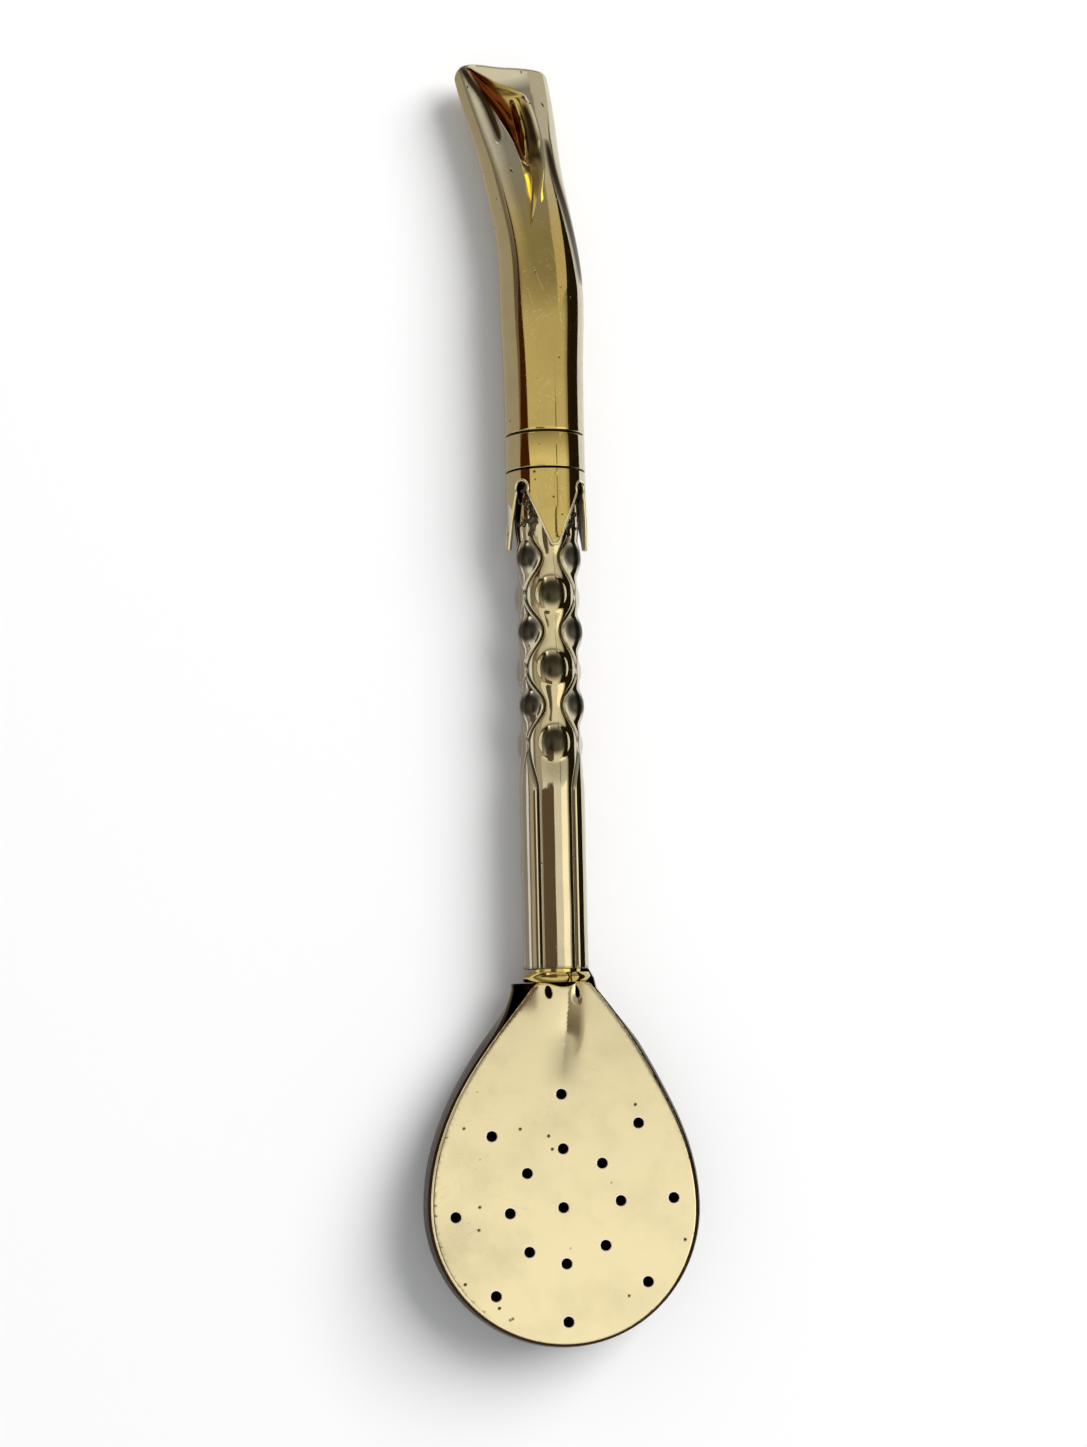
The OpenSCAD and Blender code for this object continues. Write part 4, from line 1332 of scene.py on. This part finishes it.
def rim_tree():
    """Build the tree that puts a burnished edge at every hole and tilts them with the sheet."""
    tree = bpy.data.node_groups.new("sieve_hole_rims", "GeometryNodeTree")
    tree.interface.new_socket("Geometry", in_out="OUTPUT", socket_type="NodeSocketGeometry")
    for name, kind in (
        ("Rim", "NodeSocketObject"),
        ("Places", "NodeSocketObject"),
        ("Tilt", "NodeSocketFloat"),
        ("Lip", "NodeSocketVector"),
        ("Metal", "NodeSocketMaterial"),
    ):
        tree.interface.new_socket(name, in_out="INPUT", socket_type=kind)
    given = add_node(tree, "NodeGroupInput")
    spots = add_node(tree, "GeometryNodeObjectInfo", {"Object": given["Places"]})["Geometry"]
    rim = add_node(tree, "GeometryNodeObjectInfo", {"Object": given["Rim"]})["Geometry"]
    rims = add_node(tree, "GeometryNodeInstanceOnPoints", {"Points": spots, "Instance": rim})["Instances"]
    flat = add_node(tree, "GeometryNodeRealizeInstances", {"Geometry": rims})["Geometry"]
    turned = add_node(tree, "ShaderNodeCombineXYZ", {"X": given["Tilt"]})["Vector"]
    laid = add_node(
        tree, "GeometryNodeTransform", {"Geometry": flat, "Translation": given["Lip"], "Rotation": turned}
    )["Geometry"]
    dressed = add_node(
        tree, "GeometryNodeSetMaterial", {"Geometry": laid, "Material": given["Metal"]}
    )["Geometry"]
    add_node(tree, "NodeGroupOutput", {"Geometry": dressed})
    return tree


class BOMBILLA_OT_sieve(Operator):
    """Make the pierced sieve and the burnished edges of its holes"""

    bl_idname = "bombilla.sieve"
    bl_label = "Sieve"
    bl_options = {"REGISTER", "UNDO"}

    def execute(self, context):
        s = context.scene.bombilla_strainer
        rule = StrainerRule(s)
        edge = sieve_outline(rule)
        places = hole_places(s)
        holes = []
        for middle in places:
            radius = s.hole_radius + RIM_WIDTH
            holes.append([middle + radius * Vector((math.cos(a), math.sin(a))) for a in turns(HOLE_SIDES)])
        holes += [slot_line(*slot[:4], slot[9]) for slot in SLOTS]
        inside = []
        for fine, low, high in SIEVE_FILLS:
            step, reach = fine * MM, int(FILL_HALF / fine)
            for i in range(int((high - low) / fine)):
                for j in range(-reach, reach + 1):
                    inside.append(Vector(((j + 0.5 * (i % 2)) * step, -(low * MM + (i + 0.5) * step))))
        for i in range(1, CREASE_STEPS):
            w = s.crease_length * i / CREASE_STEPS
            inside.append(Vector((rule.crease_line(w), -w)))
        count = len(edge)
        for share in EDGE_PLACES:
            for i, p in enumerate(edge):
                ahead = (edge[(i + 1) % count] - edge[i - 1]).normalized()
                inside.append(p + share * s.bevel * Vector((-ahead.y, ahead.x)))
        flat, faces = sheet(edge, holes, inside, SIEVE_MARGIN)

        def lift(p, z):
            return rule.place(p.x, -p.y, rule.fold(p.x, -p.y) + z)

        front = []
        for p in flat:
            away = max(0.0, 1 - rule.edge_distance(p.x, -p.y) / s.bevel)
            front.append(lift(p, s.sheet - EDGE_FALL * s.bevel * away**2))
        shape = thicken(front, faces, lambda i: lift(flat[i], 0.0))
        slots = [slot_edge(slot, s.sheet, lift) for slot in SLOTS]
        mesh = make_mesh("sieve", join(shape, *slots), [metal("pale_brass")], sharp=60)
        weld(mesh)
        add_piece("sieve_sheet", mesh, "strainer", "pale_brass", "sieve_plate")

        rim = bpy.data.objects.new("hole_rim", make_mesh("hole_rim", rim_ring(s), []))
        spots = bpy.data.objects.new("hole_places", bpy.data.meshes.new("hole_places"))
        spots.data.from_pydata([(p.x, p.y, 0.0) for p in places], [], [])
        for helper in (rim, spots):
            context.scene.collection.objects.link(helper)
        values = {
            "Rim": rim,
            "Places": spots,
            "Tilt": -s.tilt,
            "Lip": (0.0, rule.lip_y, rule.lip_z),
            "Metal": metal("burnished_edge"),
        }
        rims = bake_nodes("sieve_hole_rims", rim_tree(), values)
        bpy.data.objects.remove(rim)
        bpy.data.objects.remove(spots)
        add_piece("sieve_hole_rims", rims, "strainer", "pale_brass")
        return {"FINISHED"}


# Runs below the lip over which the neck and the side's swell change, fullness of the dish's section, and its rows
NECK_RUN, SWELL_FROM, DISH_FULLNESS, DISH_ROWS = 8 * MM, 8 * MM, 0.75, 28
# Steps along a side of the dish, round its tip and along a wing
DISH_STEPS, ROUND_STEPS, WING_STEPS = 60, 120, 8
# The neck's left side stands off the sieve by this gain and stops at this share of the wing's length above the lip
NECK_GAIN, WING_LEFT = 2.3 * MM, 0.26
# Its right side hugs the stem as a wing with this half width and wall, whose slanted top edge runs over these rows
WING_HALF, WING_WALL, WING_SLANT = 4.85 * MM, 0.15 * MM, 10
# Height of the dish's rim below the sieve
RIM_FALL = 0.22 * MM
# Shares by which the outer wall's painted dark reflection is lessened at the neck and under the dish
NECK_LIGHTER, UNDER_LIGHTER = 0.22, 0.6


def dish_shape(rule):
    """Build the dish from one wing round the tip to the other; return the shape and its darkening, a painted
    reflection outside and painted shade inside.
    """
    s = rule.sizes
    wing_w = (rule.lip_y - DISH_HIGH.y) / math.cos(s.tilt)

    def half(w, side):
        """Half width of the dish on one side."""
        wide = rule.half(max(0.0, w), side) + s.ledge + side * rule.drift(w)
        if side > 0:
            return wide + (WING_HALF - wide) * w / wing_w if w < 0 else wide
        return wide + NECK_GAIN * max(0.0, 1 - max(0.0, w) / NECK_RUN) ** 2

    def thickness(w, side):
        """Thickness of the wall on one side."""
        least = WING_WALL if side > 0 else 2 * WING_WALL
        return least + (s.dish_wall - least) * smooth(w / NECK_RUN)

    body = [s.shoulder * i / DISH_STEPS for i in range(DISH_STEPS + 1)]
    path = [(wing_w * (1 - i / WING_STEPS), 1, (1.0, 0.0)) for i in range(WING_STEPS)]
    path += [(w, 1, (1.0, 0.0)) for w in body]
    for i in range(1, ROUND_STEPS):
        turn = math.pi * i / ROUND_STEPS
        path.append((s.shoulder, 1 if 2 * i < ROUND_STEPS else -1, (math.cos(turn), math.sin(turn))))
    path += [(w, -1, (-1.0, 0.0)) for w in reversed(body)]
    path += [(wing_w * WING_LEFT * i / WING_STEPS, -1, (-1.0, 0.0)) for i in range(1, WING_STEPS + 1)]

    points, tarnish = [], []
    for outside in (True, False):
        for row in range(DISH_ROWS):
            turn = math.pi / 2 * row / (DISH_ROWS - 1)
            for w, side, way in path:
                if w < 0 < side:
                    w *= 0.5 + 0.5 * smooth(row / WING_SLANT)
                wide = half(w, side)
                wall = 0.0 if outside else thickness(w, side)
                floor = 0.0 if outside else s.dish_wall
                flat = s.flat * wide
                out = flat + (wide - wall - flat) * math.cos(turn) ** DISH_FULLNESS if row < DISH_ROWS - 1 else flat
                out += smooth(w / SWELL_FROM) * s.swell * math.sin(2 * turn)
                rim_z = rule.lip_z + (w + wide * way[1]) * math.sin(s.tilt) - (RIM_FALL if outside else 0.0)
                y = rule.lip_y - (w + out * way[1]) * math.cos(s.tilt)
                points.append(Vector((out * way[0], y, floor + (rim_z - floor) * (1 - math.sin(turn)))))
                # The outer wall is darkened as a painted reflection of the shadowed floor, less at the neck and
                # under the dish; the inner wall is fully dark as painted shade
                lighter = NECK_LIGHTER * (1 - smooth(w / NECK_RUN)) + UNDER_LIGHTER * smooth(2 * row / DISH_ROWS - 0.7)
                tarnish.append(1.0 - lighter if outside else 1.0)
    cols, inner = len(path), DISH_ROWS * len(path)
    outer_faces = grid_faces(DISH_ROWS, cols, False, False)
    faces = list(outer_faces)
    faces += [tuple(inner + i for i in reversed(face)) for face in outer_faces]
    faces += [(j + 1, j, inner + j, inner + j + 1) for j in range(cols - 1)]
    for i in range(DISH_ROWS - 1):
        a, b = i * cols, (i + 1) * cols
        faces.append((a, b, inner + b, inner + a))
        c, d = a + cols - 1, b + cols - 1
        faces.append((d, c, inner + c, inner + d))
    foot = (DISH_ROWS - 1) * cols
    last = foot + cols - 1
    faces.append((foot, last, inner + last, inner + foot))
    for j in range((cols - 1) // 2):
        a, b, c, d = foot + j, foot + j + 1, last - j - 1, last - j
        under = (a, b, c, d) if b != c else (a, b, d)
        faces.append(under)
        faces.append(tuple(inner + i for i in reversed(under)))
    return (points, faces), tarnish


# The shoulder ring is this much shorter than the CAD ring at its lower end, under the lip's humps, and this much
# rounded in this many steps
RING_SHORT, RING_ROUND, RING_STEPS = 0.65 * MM, 0.3 * MM, 12
# It is dented where the sheet was folded in: turn from the front and half width in degrees, and depth in mm; its
# tarnish outside a dent, and how fast it grows in one
DENTS = ((24, 6, 0.4),)
RING_TARNISH, DENT_TARNISH = 0.1, 1.2


def shoulder_shape(profile, seat):
    """Turn the shoulder ring round the stem's axis with its dents; return the shape and its tarnish."""
    points, tarnish = [], []
    for place in profile:
        for turn in turns(SHOULDER_SIDES):
            degrees = math.degrees(turn - math.tau if turn > math.pi else turn)
            dent = sum(depth * bell((degrees - middle) / half) for middle, half, depth in DENTS) * MM
            radius = max(seat, place.x - dent) if place.x > seat else place.x
            points.append(on_axis(radius, turn, place.y))
            tarnish.append(min(1.0, RING_TARNISH + DENT_TARNISH * (dent / MM) ** 2))
    return (points, grid_faces(len(profile), SHOULDER_SIDES, True, True)), tarnish


class BOMBILLA_OT_dish(Operator):
    """Make the dish, the shoulder ring and the strainer's plug"""

    bl_idname = "bombilla.dish"
    bl_label = "Dish and neck"
    bl_options = {"REGISTER", "UNDO"}

    def execute(self, context):
        shape, tarnish = dish_shape(StrainerRule(context.scene.bombilla_strainer))
        dish = make_mesh("dish", shape, [metal("pale_brass")], tarnish, sharp=35)
        weld(dish)
        add_piece("strainer_shell", dish, "strainer", "pale_brass", "strainer_dish")

        brass = metal("yellow_brass")
        low, high = NECK_LOW.y - FOOT_Y + RING_SHORT, NECK_HIGH.y - FOOT_Y + STEM_CUT - CUT_WAVE
        seat = NECK_PLUG_HIGH.x + FIT_GAP
        profile = [Vector((seat, low))]
        for i in range(RING_STEPS + 1):
            radius = NECK_HIGH.x - RING_ROUND * (1 - math.sin(math.pi * i / RING_STEPS))
            profile.append(Vector((radius, low + (high - low) * i / RING_STEPS)))
        profile.append(Vector((seat, high)))
        shape, dark = shoulder_shape(profile, seat)
        ring = make_mesh("neck_ring", shape, [brass], dark)
        add_piece("shoulder_ring", ring, "strainer", "yellow_brass", "neck_ring")
        plug = plug_shape(NECK_PLUG_LOW.y - FOOT_Y + RING_SHORT, NECK_PLUG_HIGH.y - FOOT_Y, NECK_PLUG_HIGH.x)
        add_piece("neck_plug_tube", make_mesh("neck_plug", plug, [brass]), "strainer", "yellow_brass", "neck_plug")
        return {"FINISHED"}


# Camera that shows the part as the photo does: its place and turn, the photo's height and the focal length in
# pixels, and the sensor's height in mm
CAMERA_PLACE = Vector((-38.08, -38.78, 366.71)) * MM
CAMERA_TURN = tuple(math.radians(a) for a in (5.543, -5.742, -1.236))
PHOTO_HEIGHT, FOCAL_PIXELS, SENSOR = 1447, 2600, 36.0
# Half size of the floor in mm
FLOOR_HALF = 1500
# Cards that the metal mirrors and the camera doesn't see: middle and half sizes in mm, colour, glow, and the share
# of its width that a card has at its far end
CARDS = (
    ("left_card", (-60, 61, 38), (0, 27, 23), "#4a2408", 1.0, 0),
    ("right_card", (30, -26, 11), (0, 92, 11), "#231d0f", 1.0, 1),
    ("right_end_card", (30, 82, 11), (0, 16, 11), "#231d0f", 1.0, 0),
    ("lens_card", (-137.5, -40, 372), (77.5, 90, 0), "#5f584b", 1.0, 1),
    ("lens_edge_card", (-42.5, -40, 371), (17.5, 90, 0), "#a59c88", 1.0, 1),
    ("spark_card", (1.3, 73.7, 12.25), (0, 2.7, 0.65), "#ffec66", 2.4, 1),
    ("window_card", (330, -40, 400), (0, 90, 190), "#fff7e6", 1.6, 1),
    ("stem_card", (-15.5, -26, 26), (14.5, 14.5, 0), "#6b594a", 1.0, 1),
    ("stem_left_card", (-70, -13, 42), (0, 29, 20), "#bdb5a6", 1.0, 1),
    ("glint_card", (-97, 172, 100), (0, 40, 34), "#fffdf6", 1.9, 1),
    ("stem_floor_card", (-18, -8, 0.3), (12, 32, 0), "#9c9794", 1.0, 1),
    ("beak_left_card", (-48, 66, 8), (0, 42, 8), "#baaf97", 1.0, 1),
    ("beak_floor_card", (-28, 62, 0.3), (20, 34, 0), "#baaf97", 1.0, 1),
    ("tip_card", (215, 195, 140), (0, 60, 140), "#d8d2c4", 1.0, 1),
    ("far_card", (0, 420, 220), (250, 0, 170), "#d9d6d0", 1.0, 1),
    ("mullion_card", (209, 100, 400), (10, 40, 0), "#3a3020", 1.0, 1),
)
# Place, size and colour of the key light
KEY_PLACE, KEY_SIZE, KEY_TINT = Vector((1428, 906, 1703)) * MM, 1700 * MM, (1.0, 0.99, 0.985)
# Heights in the sky between which it turns pale, and where and how far it is dimmed beyond the beak
SKY_FROM, SKY_TO, DIM_FROM, DIM_TO, DIM_LEFT = 0.28, 0.62, 0.12, 0.36, 0.34


def plain_material(name, colour, glow=0.0):
    """Build a plain matt or glowing stage material."""
    material = bpy.data.materials.new(name)
    material.use_nodes = True
    tree = material.node_tree
    tree.nodes.clear()
    if glow:
        shader = add_node(tree, "ShaderNodeEmission", {"Color": colour, "Strength": glow})["Emission"]
    else:
        shader = add_node(tree, "ShaderNodeBsdfDiffuse", {"Color": colour})["BSDF"]
    add_node(tree, "ShaderNodeOutputMaterial", {"Surface": shader})
    return material


def add_card(name, middle, half, material, far_width=1):
    """Add a flat card whose thin side is the one with no half size."""
    wide = [Vector([half[i] if i == axis else 0 for i in range(3)]) for axis in range(3) if half[axis]]
    ends = ((-1, -1), (1, -far_width), (1, far_width), (-1, 1))
    corners = [Vector(middle) + a * wide[0] + b * wide[1] for a, b in ends]
    mesh = bpy.data.meshes.new(name)
    mesh.from_pydata([tuple(c * MM) for c in corners], [], [(0, 1, 2, 3)])
    mesh.materials.append(material)
    card = bpy.data.objects.new(name, mesh)
    bpy.context.scene.collection.objects.link(card)
    return card


class BOMBILLA_OT_stage(Operator):
    """Make the floor, the cards, the lights and the camera"""

    bl_idname = "bombilla.stage"
    bl_label = "Stage"
    bl_options = {"REGISTER", "UNDO"}

    def execute(self, context):
        looks, scene = context.scene.bombilla_stage, context.scene
        add_card("floor", (0, 0, 0), (FLOOR_HALF, FLOOR_HALF, 0), plain_material("matt_floor", tuple(looks.floor)))
        for name, middle, half, colour, glow, far_width in CARDS:
            card = add_card(name, middle, half, plain_material(name, linear(colour), glow), far_width)
            card.visible_camera = False
            card.visible_diffuse = False
            card.visible_shadow = False

        lamp = bpy.data.lights.new("key_light", "AREA")
        lamp.shape = "SQUARE"
        lamp.size = KEY_SIZE
        lamp.energy = looks.key_power
        lamp.color = KEY_TINT
        key = bpy.data.objects.new("key_light", lamp)
        key.location = KEY_PLACE
        key.rotation_euler = (-KEY_PLACE).to_track_quat("-Z", "Y").to_euler()
        key.visible_glossy = False
        scene.collection.objects.link(key)

        # The metal mirrors a pale sky that darkens to the sides and beyond the beak; the floor gets plain light
        world = bpy.data.worlds.new("studio")
        world.use_nodes = True
        tree = world.node_tree
        tree.nodes.clear()
        way = add_node(tree, "ShaderNodeTexCoord")["Generated"]
        lean = add_node(tree, "ShaderNodeSeparateXYZ", {"Vector": way})
        open_sky = add_node(
            tree,
            "ShaderNodeMapRange",
            {"Value": lean["Z"], "From Min": SKY_FROM, "From Max": SKY_TO},
            interpolation_type="SMOOTHSTEP",
        )["Result"]
        sky = add_node(
            tree,
            "ShaderNodeMix",
            {"Factor": open_sky, "A": tuple(looks.horizon), "B": tuple(looks.sky)},
            data_type="RGBA",
        )["Result"]
        beyond = add_node(
            tree,
            "ShaderNodeMapRange",
            {"Value": lean["Y"], "From Min": DIM_FROM, "From Max": DIM_TO, "To Min": 1.0, "To Max": DIM_LEFT},
        )["Result"]
        dimmed = add_node(
            tree, "ShaderNodeMix", {"Factor": 1.0, "A": sky, "B": beyond}, data_type="RGBA", blend_type="MULTIPLY"
        )["Result"]
        ray = add_node(tree, "ShaderNodeLightPath")
        light = add_node(
            tree,
            "ShaderNodeMix",
            {"Factor": ray["Is Glossy Ray"], "A": tuple(looks.ambient), "B": dimmed},
            data_type="RGBA",
        )["Result"]
        shown = add_node(
            tree,
            "ShaderNodeMix",
            {"Factor": ray["Is Camera Ray"], "A": light, "B": (1.0, 1.0, 1.0, 1.0)},
            data_type="RGBA",
        )["Result"]
        back = add_node(tree, "ShaderNodeBackground", {"Color": shown, "Strength": 1.0})["Background"]
        add_node(tree, "ShaderNodeOutputWorld", {"Surface": back})
        scene.world = world

        lens = bpy.data.cameras.new("camera")
        lens.sensor_fit = "VERTICAL"
        lens.sensor_height = SENSOR
        lens.lens = SENSOR * FOCAL_PIXELS / PHOTO_HEIGHT
        lens.clip_start = 0.01
        camera = bpy.data.objects.new("camera", lens)
        camera.location = CAMERA_PLACE
        camera.rotation_euler = Euler(CAMERA_TURN, "XYZ")
        scene.collection.objects.link(camera)
        scene.camera = camera
        scene.view_settings.view_transform = "Standard"
        return {"FINISHED"}


class BOMBILLA_PT_panel(Panel):
    """List the pieces of the bombilla and their sizes"""

    bl_idname = "BOMBILLA_PT_panel"
    bl_label = "Bombilla"
    bl_space_type = "VIEW_3D"
    bl_region_type = "UI"
    bl_category = "Bombilla"

    def draw(self, context):
        for maker in MAKERS:
            self.layout.operator(maker.bl_idname)
        for name, group in GROUPS:
            box = self.layout.box()
            sizes = getattr(context.scene, name)
            for key in group.__annotations__:
                box.prop(sizes, key)


GROUPS = (
    ("bombilla_stem", StemSizes),
    ("bombilla_collar", CollarSizes),
    ("bombilla_beak", BeakSizes),
    ("bombilla_strainer", StrainerSizes),
    ("bombilla_finishes", Finishes),
    ("bombilla_stage", StageLooks),
)
MAKERS = (
    BOMBILLA_OT_stem,
    BOMBILLA_OT_collar,
    BOMBILLA_OT_beak,
    BOMBILLA_OT_sieve,
    BOMBILLA_OT_dish,
    BOMBILLA_OT_stage,
)


def register():
    """Register the classes and hang the sizes on the scene."""
    for name, group in GROUPS:
        bpy.utils.register_class(group)
        setattr(bpy.types.Scene, name, PointerProperty(type=group))
    for maker in MAKERS:
        bpy.utils.register_class(maker)
    bpy.utils.register_class(BOMBILLA_PT_panel)


def unregister():
    """Take the classes and the sizes away again."""
    bpy.utils.unregister_class(BOMBILLA_PT_panel)
    for maker in reversed(MAKERS):
        bpy.utils.unregister_class(maker)
    for name, group in reversed(GROUPS):
        delattr(bpy.types.Scene, name)
        bpy.utils.unregister_class(group)


def main():
    """Make every piece in order."""
    register()
    bpy.ops.bombilla.stem()
    bpy.ops.bombilla.collar()
    bpy.ops.bombilla.beak()
    bpy.ops.bombilla.sieve()
    bpy.ops.bombilla.dish()
    bpy.ops.bombilla.stage()


if __name__ == "__main__":
    main()
